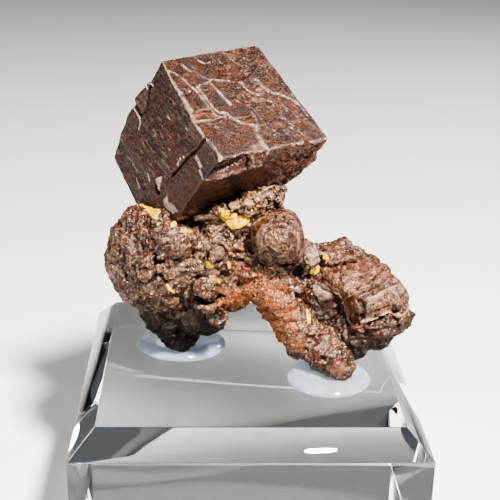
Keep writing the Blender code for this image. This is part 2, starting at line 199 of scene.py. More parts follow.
@dataclass(frozen=True)
class Eye:
    """The camera that took the photograph, worked out from the block's edges."""

    place: Triple = (-7.262, -156.33, 99.806)
    down: float = 20.558
    right: float = 2.727
    roll: float = 1.374
    focal: float = 1100.2
    size: float = 500.0
    sensor: float = 36.0

    def turn(self) -> Matrix:
        """The camera's turn as a matrix."""
        aside = Matrix.Rotation(math.radians(-self.right), 3, "Z")
        lower = Matrix.Rotation(math.radians(90.0 - self.down), 3, "X")
        lean = Matrix.Rotation(math.radians(self.roll), 3, "Z")
        return aside @ lower @ lean

    def pixels(self, points: Array) -> Array:
        """Where places show in the photograph.

        Args:
            points: Places in millimetres.

        Returns:
            Rows of x and y in its 500 x 500 frame.
        """
        seen = (points - np.array(self.place)) @ np.array(self.turn())
        scale = self.focal / -seen[:, 2]
        return np.stack([self.size / 2 + seen[:, 0] * scale, self.size / 2 - seen[:, 1] * scale], axis=1)

    def facing(self, points: Array, normals: Array) -> Array:
        """How squarely each place faces the camera.

        Args:
            points: Places in millimetres.
            normals: Which way the skin faces there.

        Returns:
            Shares from 0 to 1.
        """
        towards = np.array(self.place) - points
        towards /= np.linalg.norm(towards, axis=1)[:, None]
        return np.clip(np.sum(towards * normals, axis=1) * 3.0, 0.0, 1.0)

    def build(self) -> None:
        """Sets up the scene's camera."""
        data = bpy.data.cameras.new("camera")
        data.sensor_width = self.sensor
        data.lens = self.focal / self.size * self.sensor
        data.clip_start = 0.005
        camera = bpy.data.objects.new("camera", data)
        camera.matrix_world = Matrix.LocRotScale(Vector(self.place) * MM, self.turn().to_quaternion(), None)
        bpy.context.scene.collection.objects.link(camera)
        bpy.context.scene.camera = camera


EYE = Eye()


@dataclass(frozen=True)
class Spot:
    """An oval mark on the skin, at a place of the photograph's frame."""

    x: float
    y: float
    across: float
    high: float
    turn: float = 0.0
    softness: float = 0.3

    def share(self, pixels: Array) -> Array:
        """How far each place is inside the oval, with a soft edge.

        Args:
            pixels: Places in the photograph's frame, one row of two each.

        Returns:
            Shares from 0 outside to 1 inside.
        """
        angle = math.radians(self.turn)
        away = pixels - np.array((self.x, self.y))
        along = away[:, 0] * math.cos(angle) + away[:, 1] * math.sin(angle)
        aside = away[:, 1] * math.cos(angle) - away[:, 0] * math.sin(angle)
        reach = np.hypot(along / self.across, aside / self.high)
        return 1.0 - ramp(reach, 1.0 - self.softness, 1.0 + self.softness)


@dataclass(frozen=True)
class Stroke:
    """A line on the skin through places of the photograph's frame, raised or cut in."""

    line: tuple
    width: float

    def share(self, pixels: Array) -> Array:
        """One on the line, falling to nothing beside it."""
        return hill(off_line(pixels, self.line), self.width)


# Meshes

def choose_none() -> None:
    """Deselects everything, so that the next operator acts on its own object alone."""
    if bpy.context.object and bpy.context.object.mode != "OBJECT":
        bpy.ops.object.mode_set(mode="OBJECT")
    bpy.ops.object.select_all(action="DESELECT")


def choose(*objects: Piece) -> Piece:
    """Selects some objects alone, and makes the first one active.

    Args:
        objects: The objects.

    Returns:
        The first one.
    """
    choose_none()
    for obj in objects:
        obj.select_set(True)
    bpy.context.view_layer.objects.active = objects[0]
    return objects[0]


def apply_modifiers(obj: Piece) -> None:
    """Works all of the object's modifiers into its mesh.

    Args:
        obj: The object.
    """
    choose(obj)
    for modifier in list(obj.modifiers):
        bpy.ops.object.modifier_apply(modifier=modifier.name)


def settle(obj: Piece) -> None:
    """Works the object's place, turn and size into its mesh."""
    choose(obj)
    bpy.ops.object.transform_apply(location=True, rotation=True, scale=True)


@contextmanager
def edit_mode() -> Iterator[None]:
    """Opens the active object's mesh for editing, and closes it again."""
    bpy.ops.object.mode_set(mode="EDIT")
    yield
    bpy.ops.object.mode_set(mode="OBJECT")


def pick_nothing(kind: str) -> None:
    """Deselects the active mesh all over.

    Args:
        kind: What is picked next: VERT, EDGE or FACE.
    """
    with edit_mode():
        bpy.ops.mesh.select_mode(type=kind)
        bpy.ops.mesh.select_all(action="DESELECT")


def add_box(name: str, middle: Vector | tuple, edges: Vector | tuple, turn: Euler | None = None) -> Piece:
    """Adds a box.

    Args:
        name: The object's name.
        middle: Its middle in metres.
        edges: Its three edges in metres.
        turn: How it is turned, if it is.

    Returns:
        The box.
    """
    choose_none()
    bpy.ops.mesh.primitive_cube_add(size=1.0, location=middle, rotation=turn or Euler(), scale=edges)
    obj = bpy.context.object
    obj.name = name
    return obj


def leaning(angles: tuple) -> Euler:
    """A turn given as three angles in degrees."""
    return Euler([math.radians(angle) for angle in angles])


def round_edges(flat: Array, half: Array, radius: Array) -> Array:
    """Rounds a box's edges by pulling its skin in.

    Args:
        flat: The skin's points in the box's own frame.
        half: Half the box's edges.
        radius: How round the box is near each point.

    Returns:
        The points, moved.
    """
    inner = np.clip(flat, -(half - radius), half - radius)
    outward = flat - inner
    length = np.linalg.norm(outward, axis=1)[:, None]
    return inner + outward / np.maximum(length, 1e-9) * np.minimum(length, radius)


@dataclass(frozen=True)
class Lump:
    """One ball of the matrix: its middle and its radii across, deep and high."""

    x: float
    y: float
    z: float
    across: float
    deep: float
    high: float

    def build(self) -> Piece:
        """Adds the ball at its size and place."""
        choose_none()
        bpy.ops.mesh.primitive_ico_sphere_add(
            subdivisions=4,
            radius=1.0,
            location=Vector((self.x, self.y, self.z)) * MM,
            scale=Vector((self.across, self.deep, self.high)) * MM,
        )
        return bpy.context.object


@dataclass(frozen=True)
class Block:
    """One blocky crystal of the matrix: which way its top looks, and which way its back edge runs."""

    middle: Triple
    edges: Triple
    up: Triple
    along: Triple

    def turn(self) -> Matrix:
        """The crystal's own axes.

        Returns:
            They, as a matrix's columns.
        """
        up = Vector(self.up).normalized()
        along = Vector(self.along)
        along = (along - up * along.dot(up)).normalized()
        return Matrix((along, up.cross(along), up)).transposed()

    def build(self) -> Piece:
        """Adds the crystal at its size and place."""
        return add_box("crystal", Vector(self.middle) * MM, Vector(self.edges) * MM, self.turn().to_euler())


class Skin:
    """A mesh while it is shaped: its points in millimetres, and which ones are neighbours."""

    def __init__(self, obj: Piece) -> None:
        """Reads the object's mesh.

        Args:
            obj: The piece, at the origin, unturned and unscaled.
        """
        self.obj = obj
        self.mesh = obj.data
        self.count = len(self.mesh.vertices)
        flat = np.empty(self.count * 3)
        self.mesh.vertices.foreach_get("co", flat)
        self.points = flat.reshape(-1, 3) / MM
        ends = np.empty(len(self.mesh.edges) * 2, dtype=np.int32)
        self.mesh.edges.foreach_get("vertices", ends)
        self.ends = ends.reshape(-1, 2)
        self.friends = np.bincount(self.ends.ravel(), minlength=self.count)
        self.look()

    def look(self) -> None:
        """Writes the points to the mesh and reads its normals and the camera's view of it again."""
        self.mesh.vertices.foreach_set("co", (self.points * MM).ravel())
        self.mesh.update()
        flat = np.empty(self.count * 3)
        self.mesh.vertices.foreach_get("normal", flat)
        self.normals = flat.reshape(-1, 3)
        self.pixels = EYE.pixels(self.points)
        self.facing = EYE.facing(self.points, self.normals)

    def push(self, height: Array) -> None:
        """Moves each point along its normal by so many millimetres."""
        self.points = self.points + self.normals * height[:, None]
        self.look()

    def spread(self, values: Array, times: int) -> Array:
        """Evens values out over the skin.

        Args:
            values: One value for each point.
            times: How often each point takes the mean of its neighbours.

        Returns:
            The evened values.
        """
        first, second = self.ends[:, 0], self.ends[:, 1]
        for _ in range(times):
            total = np.bincount(first, values[second], self.count)
            total += np.bincount(second, values[first], self.count)
            values = 0.5 * values + 0.5 * total / self.friends
        return values

    def standing(self, times: int) -> Array:
        """How far each point stands out of the evened skin, in millimetres, below zero in hollows."""
        even = np.stack([self.spread(self.points[:, axis], times) for axis in range(3)], axis=1)
        return np.sum((self.points - even) * self.normals, axis=1)

    def keep(self, name: str, values: Array) -> None:
        """Stores one value from 0 to 1 for each point, for the finish to read."""
        layer = self.mesh.attributes.new(name, "FLOAT", "POINT")
        layer.data.foreach_set("value", np.clip(values, 0.0, 1.0).astype(np.float32))


def one_skin(parts: list, name: str, voxel: float, ease: int) -> Skin:
    """Runs closed shapes together into one closed skin.

    Args:
        parts: The objects, which are used up.
        name: The new piece's name.
        voxel: The skin's mesh size in millimetres.
        ease: How often the skin is smoothed.

    Returns:
        The skin.
    """
    obj = choose(*parts)
    bpy.ops.object.join()
    obj.name = name
    settle(obj)
    remesh = obj.modifiers.new("one_skin", "REMESH")
    remesh.mode = "VOXEL"
    remesh.voxel_size = voxel * MM
    smooth = obj.modifiers.new("ease", "SMOOTH")
    smooth.iterations = ease
    apply_modifiers(obj)
    keep_largest(obj)
    choose(obj)
    bpy.ops.object.shade_smooth()
    return Skin(obj)


def keep_largest(obj: Piece) -> None:
    """Drops the skins of hollows that are shut in between the balls, and keeps the largest skin.

    Args:
        obj: The piece.
    """
    ends = np.empty(len(obj.data.edges) * 2, dtype=np.int32)
    obj.data.edges.foreach_get("vertices", ends)
    ends = ends.reshape(-1, 2)
    owner = np.arange(len(obj.data.vertices))
    while True:
        lowest = np.minimum(owner[ends[:, 0]], owner[ends[:, 1]])
        before = owner.copy()
        np.minimum.at(owner, ends[:, 0], lowest)
        np.minimum.at(owner, ends[:, 1], lowest)
        owner = owner[owner]
        if np.array_equal(before, owner):
            break
    largest = np.bincount(owner).argmax()
    if (owner == largest).all():
        return
    choose(obj)
    pick_nothing("VERT")
    obj.data.vertices.foreach_set("select", owner != largest)
    with edit_mode():
        bpy.ops.mesh.delete(type="VERT")


# Marks on the skin

class Tint(Enum):
    """What a mark does to the colour of the skin."""

    # PALE and WORN: pale veins and wear, and in places painted highlights
    PALE = "pale"
    WORN = "worn"
    RUST = "rust"
    # DARK: dark stains, and in many places painted shade in hollows, gaps and on faces that look down
    DARK = "dark"
    ORANGE = "orange"
    YELLOW = "yellow"
    # grain, with cream specks that are partly dust and partly painted glints
    GRAIN_AND_GLINT = "grain"


PALE, WORN, RUST, DARK, ORANGE, YELLOW, GRAIN_AND_GLINT = Tint


@dataclass(frozen=True)
class Patch:
    """A flat shape with straight sides, such as a facet or a flake."""

    outline: tuple
    edge: float

    def share(self, places: Array) -> Array:
        """How far each place is inside the shape, 1 inside and 0 outside, with a narrow slope between.

        Args:
            places: Flat places, one row of two each.

        Returns:
            Shares from 0 to 1.
        """
        closed = self.outline + self.outline[:1]
        inside = np.zeros(len(places), dtype=bool)
        for (x0, y0), (x1, y1) in zip(closed, closed[1:]):
            between = (places[:, 1] < y0) != (places[:, 1] < y1)
            cross = x0 + (places[:, 1] - y0) * (x1 - x0) / ((y1 - y0) or 1e-9)
            inside ^= between & (places[:, 0] < cross)
        away = off_line(places, closed)
        return ramp(np.where(inside, away, -away), -self.edge, self.edge)


@dataclass(frozen=True)
class Ring:
    """An oval ring, raised or cut in."""

    x: float
    y: float
    across: float
    high: float
    width: float

    def share(self, places: Array) -> Array:
        """How near each place is to the ring.

        Args:
            places: Flat places, one row of two each.

        Returns:
            One on the ring, falling to nothing beside it.
        """
        sides = (places - np.array((self.x, self.y))) / np.array((self.across, self.high))
        reach = np.linalg.norm(sides, axis=1)
        return hill((reach - 1.0) * min(self.across, self.high), self.width)


@dataclass(frozen=True)
class Mark:
    """One feature of the skin: where it is, how far it stands out, and what it does to the colour."""

    place: Spot | Stroke | Patch | Ring
    rise: float
    tint: Tint
    strength: float


def vein(line: tuple, rise: float, width: float, tint: Tint, strength: float) -> Mark:
    """A raised line, or one cut in where the rise is below zero."""
    return Mark(Stroke(line, width), rise, tint, strength)


def spot(place: tuple, size: tuple, rise: float, tint: Tint, strength: float) -> Mark:
    """An oval mark: its middle, its half sizes and, if it is turned, its angle."""
    return Mark(Spot(*place, *size), rise, tint, strength)


def patch(outline: tuple, rise: float, tint: Tint, strength: float, edge: float) -> Mark:
    """A mark with straight sides."""
    return Mark(Patch(outline, edge), rise, tint, strength)


class Dress:
    """Gathers the heights and tints that marks give one skin."""

    def __init__(self, skin: Skin) -> None:
        """Starts with a plain skin.

        Args:
            skin: The skin to be marked.
        """
        self.skin = skin
        self.tints = {tint: np.zeros(skin.count) for tint in Tint}

    def put(self, marks: tuple, places: Array, share: Array) -> Array:
        """Adds up the marks' heights and takes their tints over.

        Args:
            marks: The marks.
            places: Where each point is, in the marks' own flat frame.
            share: How much each point takes part.

        Returns:
            The height for each point in millimetres.
        """
        height = np.zeros(self.skin.count)
        busy = share > 0.01
        for mark in marks:
            part = np.zeros(self.skin.count)
            part[busy] = mark.place.share(places[busy]) * share[busy]
            height += mark.rise * part
            self.add(mark.tint, part * mark.strength)
        return height

    def add(self, tint: Tint, share: Array) -> None:
        """Raises a tint to the given share wherever it is lower."""
        self.tints[tint] = np.maximum(self.tints[tint], share)

    def wear_and_painted_light(self, near: int, wide: int, scale: float) -> None:
        """Lightens what stands out, as wear and as a painted highlight, and darkens what lies deep, as
        painted shade.

        Args:
            near: How far the skin is evened to find small edges.
            wide: How far it is evened to find hollows.
            scale: Millimetres of height for full strength.
        """
        small = self.skin.standing(near) / scale
        large = self.skin.standing(wide) / (scale * 4.0)
        # wear and painted highlight on what stands out
        self.add(WORN, np.clip(small - 0.15, 0.0, 1.0))
        # painted shade in what lies deep
        self.add(DARK, np.clip(-small - 0.1, 0.0, 1.0) * 0.9 + np.clip(-large - 0.1, 0.0, 1.0) * 0.6)

    def finish(self) -> None:
        """Stores the tints on the mesh."""
        for tint, share in self.tints.items():
            self.skin.keep(tint.value, share)


# The big cube

# Worn ridges along the near top edge
TOP_EDGE_VEINS = (
    vein(((0.35, 0.2), (0.2, 1.8), (0.1, 3.6), (0.15, 5.2), (0.1, 6.8), (0.2, 8.4), (0.15, 10),
          (0.2, 12), (0.15, 14), (0.2, 16), (0.2, 17.6), (0.1, 18.8)), 0.1, 0.13, PALE, 0.8),
    vein(((0.5, 7.3), (0.45, 8.2), (0.5, 9.6), (0.4, 11.2), (0.5, 12.6)), 0.06, 0.13, PALE, 0.5),
    vein(((0, 17.4), (1, 16.2), (1.6, 15.3), (2.1, 14), (2.6, 12.9), (2.9, 12), (3.1, 10.6),
          (3.2, 9.2)), 0.11, 0.15, PALE, 0.6),
)
# The net of raised veins on the near half of the top
TOP_VEINS = (
    vein(((3.4, 13), (3.5, 11.5), (3.7, 10), (3.9, 8.8), (4.3, 8), (5, 7.6), (5.5, 7.3), (5.6, 6.6)),
         0.15, 0.18, PALE, 0.65),
    vein(((5.6, 6.6), (6.2, 6), (7, 5.3), (8, 4.7), (9.2, 4.2)), 0.16, 0.17, PALE, 0.65),
    vein(((3.9, 13.2), (4.7, 13.3), (5.5, 13.5), (6.2, 13.8), (6.9, 14)), 0.12, 0.13, PALE, 0.5),
    vein(((5.9, 13.2), (6.2, 12), (6.4, 11), (6.7, 9.8), (6.9, 8.9)), 0.14, 0.18, PALE, 0.6),
    vein(((7, 13.9), (7.6, 13.5), (8.3, 13.4), (9.2, 13.1)), 0.11, 0.14, PALE, 0.5),
    vein(((9.2, 13.1), (10.4, 12.9), (11.2, 12.6)), 0.1, 0.14, RUST, 1),
    vein(((3.1, 17.6), (3.4, 16.8), (3.9, 16.2), (4.8, 15.9), (5, 15.2), (5.3, 14.6), (6.2, 14)), 0.14,
         0.16, ORANGE, 0.6),
    vein(((3.2, 17.5), (3.5, 16.7), (4, 16.1)), 0, 0.1, PALE, 0.5),
    vein(((4.6, 17), (4.9, 16.2), (5.2, 15.2)), 0.1, 0.14, PALE, 0.3),
    vein(((2, 15.3), (2.5, 15.9), (3.1, 15.6), (3.4, 15)), 0.09, 0.12, RUST, 0.9),
    vein(((5.3, 19.3), (5.9, 18.8), (6.3, 17.9), (7, 17.1), (8, 17.1)), 0.12, 0.15, PALE, 0.45),
    vein(((8.3, 19.3), (9.4, 19.35)), 0.1, 0.2, PALE, 0.5),
)
# The lens-shaped hollow at the near edge, with the cracks that run on from it
TOP_LENS = (
    vein(((0, 8.7), (1.4, 8.85), (2.6, 8.75), (3.3, 8.8)), 0.12, 0.12, PALE, 0.5),
    vein(((0.1, 8.45), (1.2, 8.55), (2.4, 8.4), (3.2, 8.6)), -0.16, 0.12, DARK, 1),
    patch(((0, 7.5), (1.6, 7.3), (3.2, 7.1), (3.3, 8.3), (1.6, 8.4), (0, 8.35)), -0.05, ORANGE, 0.6,
          0.2),
    vein(((0, 7.2), (1, 6.9), (2.4, 6.7), (3.5, 6.9), (5, 6.95)), 0.14, 0.16, PALE, 0.5),
    vein(((3.4, 8.5), (3.5, 7.4), (4.2, 6.9)), 0.1, 0.14, PALE, 0.45),
    vein(((2.6, 6.35), (3.4, 6.5), (4.6, 6.75)), -0.12, 0.12, DARK, 0.8),
    vein(((2.6, 6.2), (3.6, 6.2), (4.4, 6.4)), 0.06, 0.16, RUST, 1),
    vein(((1.6, 6.4), (2.5, 5.4), (3.6, 4.8), (4.8, 3.9), (5.6, 3.2)), 0.05, 0.16, RUST, 0.7),
    vein(((1.9, 6.2), (2.6, 5.6), (3.8, 5.1)), 0.06, 0.14, WORN, 0.8),
    vein(((6.1, 6.6), (7.2, 6.4), (8.4, 6.1), (9.3, 6.5)), 0.09, 0.14, ORANGE, 0.8),
    vein(((6.3, 6.1), (7.2, 5.9), (8.4, 5.7), (9, 5.8)), -0.14, 0.13, DARK, 0.9),
    patch(((7, 5.5), (8.2, 5), (9.1, 5), (9.2, 5.6), (8, 5.7)), 0, ORANGE, 0.8, 0.16),
)
# The broad pale band down to the front edge
TOP_BAND = (
    vein(((9.5, 6.9), (9.5, 5.8), (9.2, 4.6)), 0.1, 0.15, PALE, 0.35),
    vein(((8.7, 4.2), (8.1, 3), (7.95, 1.5), (8.1, 0.1)), 0.2, 0.34, PALE, 0.55),
    vein(((8.9, 3.8), (8.8, 2.4), (8.7, 1)), -0.05, 0.3, DARK, 0.35),
    vein(((9.4, 4.3), (10.5, 4.2), (12, 4.25), (12.6, 4.6)), 0.1, 0.13, RUST, 1),
)
# Thinner veins on the far half
TOP_FAR_VEINS = (
    vein(((8.2, 9.6), (8.8, 9), (9.2, 8.3), (10, 8.2)), 0.11, 0.14, WORN, 0.9),
    vein(((8.9, 10), (9.4, 9.2), (9.8, 8.8)), 0.08, 0.13, RUST, 1),
    vein(((14.2, 12.2), (14.3, 11), (14.7, 10)), 0.16, 0.26, PALE, 0.55),
    vein(((14.7, 10), (15.4, 9.5), (16.1, 9.1), (16.8, 8.5), (17.5, 7.8), (18, 7)), 0.14, 0.17,
         PALE, 0.45),
    vein(((18, 7), (18.3, 5.6), (18.2, 4.2)), 0.1, 0.13, WORN, 0.8),
    vein(((11, 12.6), (11.2, 11), (11.6, 10.5), (12.5, 9.8), (13.5, 9.7), (14.1, 10.1)), 0.13, 0.15,
         PALE, 0.4),
    vein(((11, 12.4), (12.3, 12.8), (13.5, 13.2), (14.8, 13.9), (16, 14.9), (16.9, 15.6)), 0.1, 0.13,
         RUST, 1),
    vein(((12.1, 17.8), (12.2, 16.7)), 0.1, 0.13, WORN, 0.9),
    vein(((13.6, 16.4), (14.6, 16.8), (15.4, 16.2)), 0.08, 0.13, WORN, 0.8),
    vein(((16.2, 12.9), (16.4, 12), (16.9, 11.4)), 0.1, 0.13, WORN, 0.8),
    vein(((11.6, 8.4), (12.4, 8.9), (13.4, 8.7), (14, 8)), 0.09, 0.13, WORN, 0.8),
    vein(((12.7, 7.2), (12.8, 6.5)), 0.12, 0.16, PALE, 0.4),
    vein(((15.2, 7), (15.6, 6.3), (15.4, 5.8)), 0.12, 0.2, PALE, 0.35),
    vein(((17, 6.9), (17.4, 6), (17.3, 5.2)), -0.1, 0.12, DARK, 0.8),
    vein(((16.6, 4.2), (17.6, 4.2), (18.6, 4.3)), -0.08, 0.11, DARK, 0.7),
    vein(((14.4, 4), (14.8, 2.6), (15.2, 1.3), (15.6, 0.4)), 0.1, 0.12, RUST, 1),
    vein(((14.1, 1.9), (13.4, 2.3), (13.3, 2.9), (13.9, 3.2), (14.4, 2.7), (14.2, 2)), 0.09, 0.12,
         WORN, 0.8),
    vein(((12.6, 3.4), (13.2, 3)), -0.1, 0.14, DARK, 0.8),
)
TOP_PITS = (
    spot((13.2, 12), (1, 0.75), -0.1, DARK, 0.85),
    spot((10.6, 17), (1.5, 0.8), -0.05, DARK, 0.55),
    spot((15, 15.5), (0.8, 0.5), -0.05, DARK, 0.6),
    spot((16.2, 13.6), (0.6, 0.6), -0.05, DARK, 0.6),
    spot((17.6, 18.2), (0.9, 0.6), -0.05, DARK, 0.6),
    spot((13.3, 8), (0.6, 0.5), -0.07, DARK, 0.6),
    spot((15.9, 0.8), (0.9, 0.5), -0.06, DARK, 0.7),
    spot((13.2, 4.6), (0.6, 0.3), -0.08, DARK, 0.7),
    spot((1.3, 12.3), (0.5, 0.3), -0.12, DARK, 0.7),
    spot((0.4, 12), (0.4, 0.3), -0.16, DARK, 0.9),
)
# Pale dabs, and washes of rust
TOP_DABS = (
    spot((13.8, 18.9), (0.4, 0.3), 0.05, PALE, 0.5),
    spot((13.6, 10.6), (0.8, 0.35), 0.05, PALE, 0.3),
    spot((11.4, 9), (0.5, 0.4), 0.05, PALE, 0.3),
    spot((4.4, 15.6), (1.6, 1.2), 0, RUST, 0.7),
    spot((10.8, 14.2), (2.4, 1.2), 0, RUST, 0.6),
    spot((12.5, 10), (3, 1.2), 0, RUST, 0.6),
    spot((15.4, 7), (2.2, 2.6), 0, RUST, 0.6),
    spot((6, 3.6), (2.6, 1.2), 0, RUST, 0.5),
    spot((6.6, 0.7), (1.3, 0.6), 0, PALE, 0.3),
)
TOP_MARKS = TOP_EDGE_VEINS + TOP_VEINS + TOP_LENS + TOP_BAND + TOP_FAR_VEINS + TOP_PITS + TOP_DABS
# The left face, along its top edge from the near corner and down from it
# The open crack beside the near corner
LEFT_CRACK = (
    vein(((3.8, -0.3), (4, 2), (4.5, 4), (4.9, 5.5)), -0.4, 0.16, DARK, 0.75),
    vein(((4.9, 5.5), (5.1, 7), (5.2, 8), (5.4, 9), (5.6, 10)), -0.5, 0.18, DARK, 1),
    vein(((4.1, 0.4), (4.3, 2.2), (4.8, 3.9), (5.1, 5.2)), 0.05, 0.26, RUST, 0.9),
    vein(((5.6, 6.2), (5.7, 7.6), (5.9, 9)), 0.05, 0.24, RUST, 0.7),
    spot((5.5, 5.7), (0.2, 0.2), 0.15, PALE, 1),
    spot((5.9, 6.6), (0.3, 0.25), 0.12, PALE, 0.8),
)
LEFT_CHIPS = (
    patch(((1.6, 3.5), (3.7, 3.3), (3.7, 3.8), (1.7, 4)), 0.1, PALE, 0.9, 0.12),
    patch(((0.2, 4.4), (1.7, 4.1), (1.7, 4.4), (0.3, 4.7)), 0.08, PALE, 0.7, 0.12),
    patch(((7.5, 2), (8.3, 2.1), (8.2, 2.5), (7.5, 2.4)), 0.1, PALE, 0.8, 0.12),
    spot((12, 4.5), (0.5, 0.18), 0.06, PALE, 0.7),
    patch(((5.2, 7.7), (6, 7), (5.9, 7.8)), 0.1, PALE, 0.8, 0.12),
    patch(((6, 13.7), (7, 11.7), (7.8, 13.2)), 0.2, PALE, 0.9, 0.14),
    spot((6.6, 14.1), (0.8, 0.45), -0.5, DARK, 1),
    spot((6.5, 13.8), (0.4, 0.25), 0, RUST, 0.8),
    patch(((8.7, 14.6), (9.9, 14.2), (9.9, 14.4), (8.8, 14.9)), 0.1, PALE, 0.8, 0.12),
    patch(((10.1, 17.9), (12, 17.5), (12, 17.8), (10.2, 18.2)), 0.1, PALE, 0.7, 0.12),
    patch(((0.7, 12.2), (2.7, 12.6), (3.2, 13), (4.2, 12.7), (4.3, 13.8), (3.6, 14.3), (2.3, 14),
           (1.2, 13.5)), 0.1, PALE, 0.6, 0.14),
)
LEFT_WASHES = (
    spot((11, 4), (0.9, 0.7), -0.04, RUST, 0.8),
    spot((6.5, 3.5), (0.8, 0.6), -0.04, RUST, 0.6),
    spot((12.1, 14.5), (0.45, 0.35), 0.06, RUST, 1),
    spot((6.5, 12.3), (0.7, 0.5), 0, RUST, 0.6),
    spot((9, 7), (2, 1.6), 0, RUST, 0.35),
)
# The lower strip behind its small step
LEFT_STRIP = (
    vein(((5, 16.3), (9, 16.2), (13, 16.3), (16, 16.4), (16, 14.5)), -0.1, 0.14, DARK, 0.9),
    vein(((12.5, 16.9), (14.5, 16.8), (16.2, 17.2)), 0.08, 0.14, PALE, 0.5),
)
# The raised plate at the back edge, with its notches
LEFT_PLATE = (
    vein(((18.2, 4.9), (17.6, 6.6), (17.2, 8.4), (17.4, 9.6)), -0.35, 0.2, DARK, 1),
    vein(((19.4, 9.4), (18.4, 9.5), (17.4, 9.9)), -0.5, 0.26, DARK, 1),
    spot((18.3, 4.7), (0.34, 0.4), -0.6, DARK, 1),
    vein(((18, 4), (18.7, 4.2), (18.6, 5.2), (18, 5.4)), 0.15, 0.12, PALE, 0.9),
    vein(((16.4, 11.4), (16.7, 10.6), (17.6, 10.2), (18.9, 9.8)), 0.14, 0.14, PALE, 0.8),
)
LEFT_MARKS = LEFT_CRACK + LEFT_CHIPS + LEFT_WASHES + LEFT_STRIP + LEFT_PLATE
# The underside that faces the camera, along the front edge and down from it
# The broken ledge under the front edge, with painted shadow in the dark groove under it
UNDER_LEDGE = (
    vein(((0.5, 4.4), (2.2, 4.1), (2.8, 3.8), (5.5, 3.8), (6.5, 3.4), (8, 2.7), (8.2, 1.5), (8.2, 0.3)),
         0.3, 0.22, PALE, 0.8),
    patch(((1, 2.7), (2.5, 2.1), (4, 1.5), (5.2, 0.4), (8, 0.5), (8, 2.6), (5.5, 3.6), (2.2, 3.9),
           (0.6, 4.2)), 0.62, RUST, 0.9, 0.22),
    vein(((0.9, 4.4), (2.2, 4.3), (3.4, 4.1), (5.5, 4.1), (6.8, 3.7), (8.3, 3)), -0.3, 0.22, DARK,
         1),
    vein(((1.4, 3.6), (2.2, 3.3), (3.2, 3.4), (4.4, 3.1)), 0.2, 0.2, PALE, 0.45),
    vein(((5.6, 0.9), (6.3, 1.8), (6.9, 2.6), (7.6, 2.3)), 0.22, 0.24, PALE, 0.5),
    vein(((4.7, 0.4), (5.3, 1.9), (5.9, 2.9)), -0.4, 0.14, DARK, 1),
    spot((6.5, 1.6), (0.9, 0.5), 0.12, PALE, 0.5),
    spot((5.2, 1.3), (0.35, 0.7), -0.4, DARK, 1),
    vein(((1.2, 3.1), (3, 2.9), (4.8, 2.6), (6.8, 2.5)), 0.14, 0.2, PALE, 0.7),
    vein(((0.9, 2.3), (2.5, 1.7), (4.3, 0.8)), -0.3, 0.34, DARK, 0.9),
)
# Hackly ground at the right end
UNDER_HACKLES = (
    vein(((9, 3), (11, 2.6), (13, 3.2)), 0.1, 0.2, DARK, 0.6),
    spot((16, 4.4), (3.4, 3.4), 0, RUST, 1),
    spot((15, 5.8), (0.8, 0.5), 0.3, RUST, 0.8),
    spot((16.9, 3.6), (0.8, 0.5), -0.4, DARK, 1),
    spot((15.4, 3.4), (0.5, 0.8), -0.35, DARK, 1),
    spot((17.4, 5.6), (0.7, 0.9), 0.25, RUST, 0.8),
    vein(((12.6, 8.4), (13.5, 7.4), (14.6, 7), (15.6, 6.4)), 0.3, 0.26, RUST, 0.9),
)
# Rusty crust at the foot
UNDER_CRUST = (
    spot((2.2, 12.3), (1, 0.6), 0.25, RUST, 0.9),
    spot((0.8, 13.4), (1.2, 0.5), 0.25, RUST, 0.9),
)
UNDER_MARKS = UNDER_LEDGE + UNDER_HACKLES + UNDER_CRUST


# How far out a point lies, as a share of half an edge, where it still belongs to a face
ON_FACE = 0.999


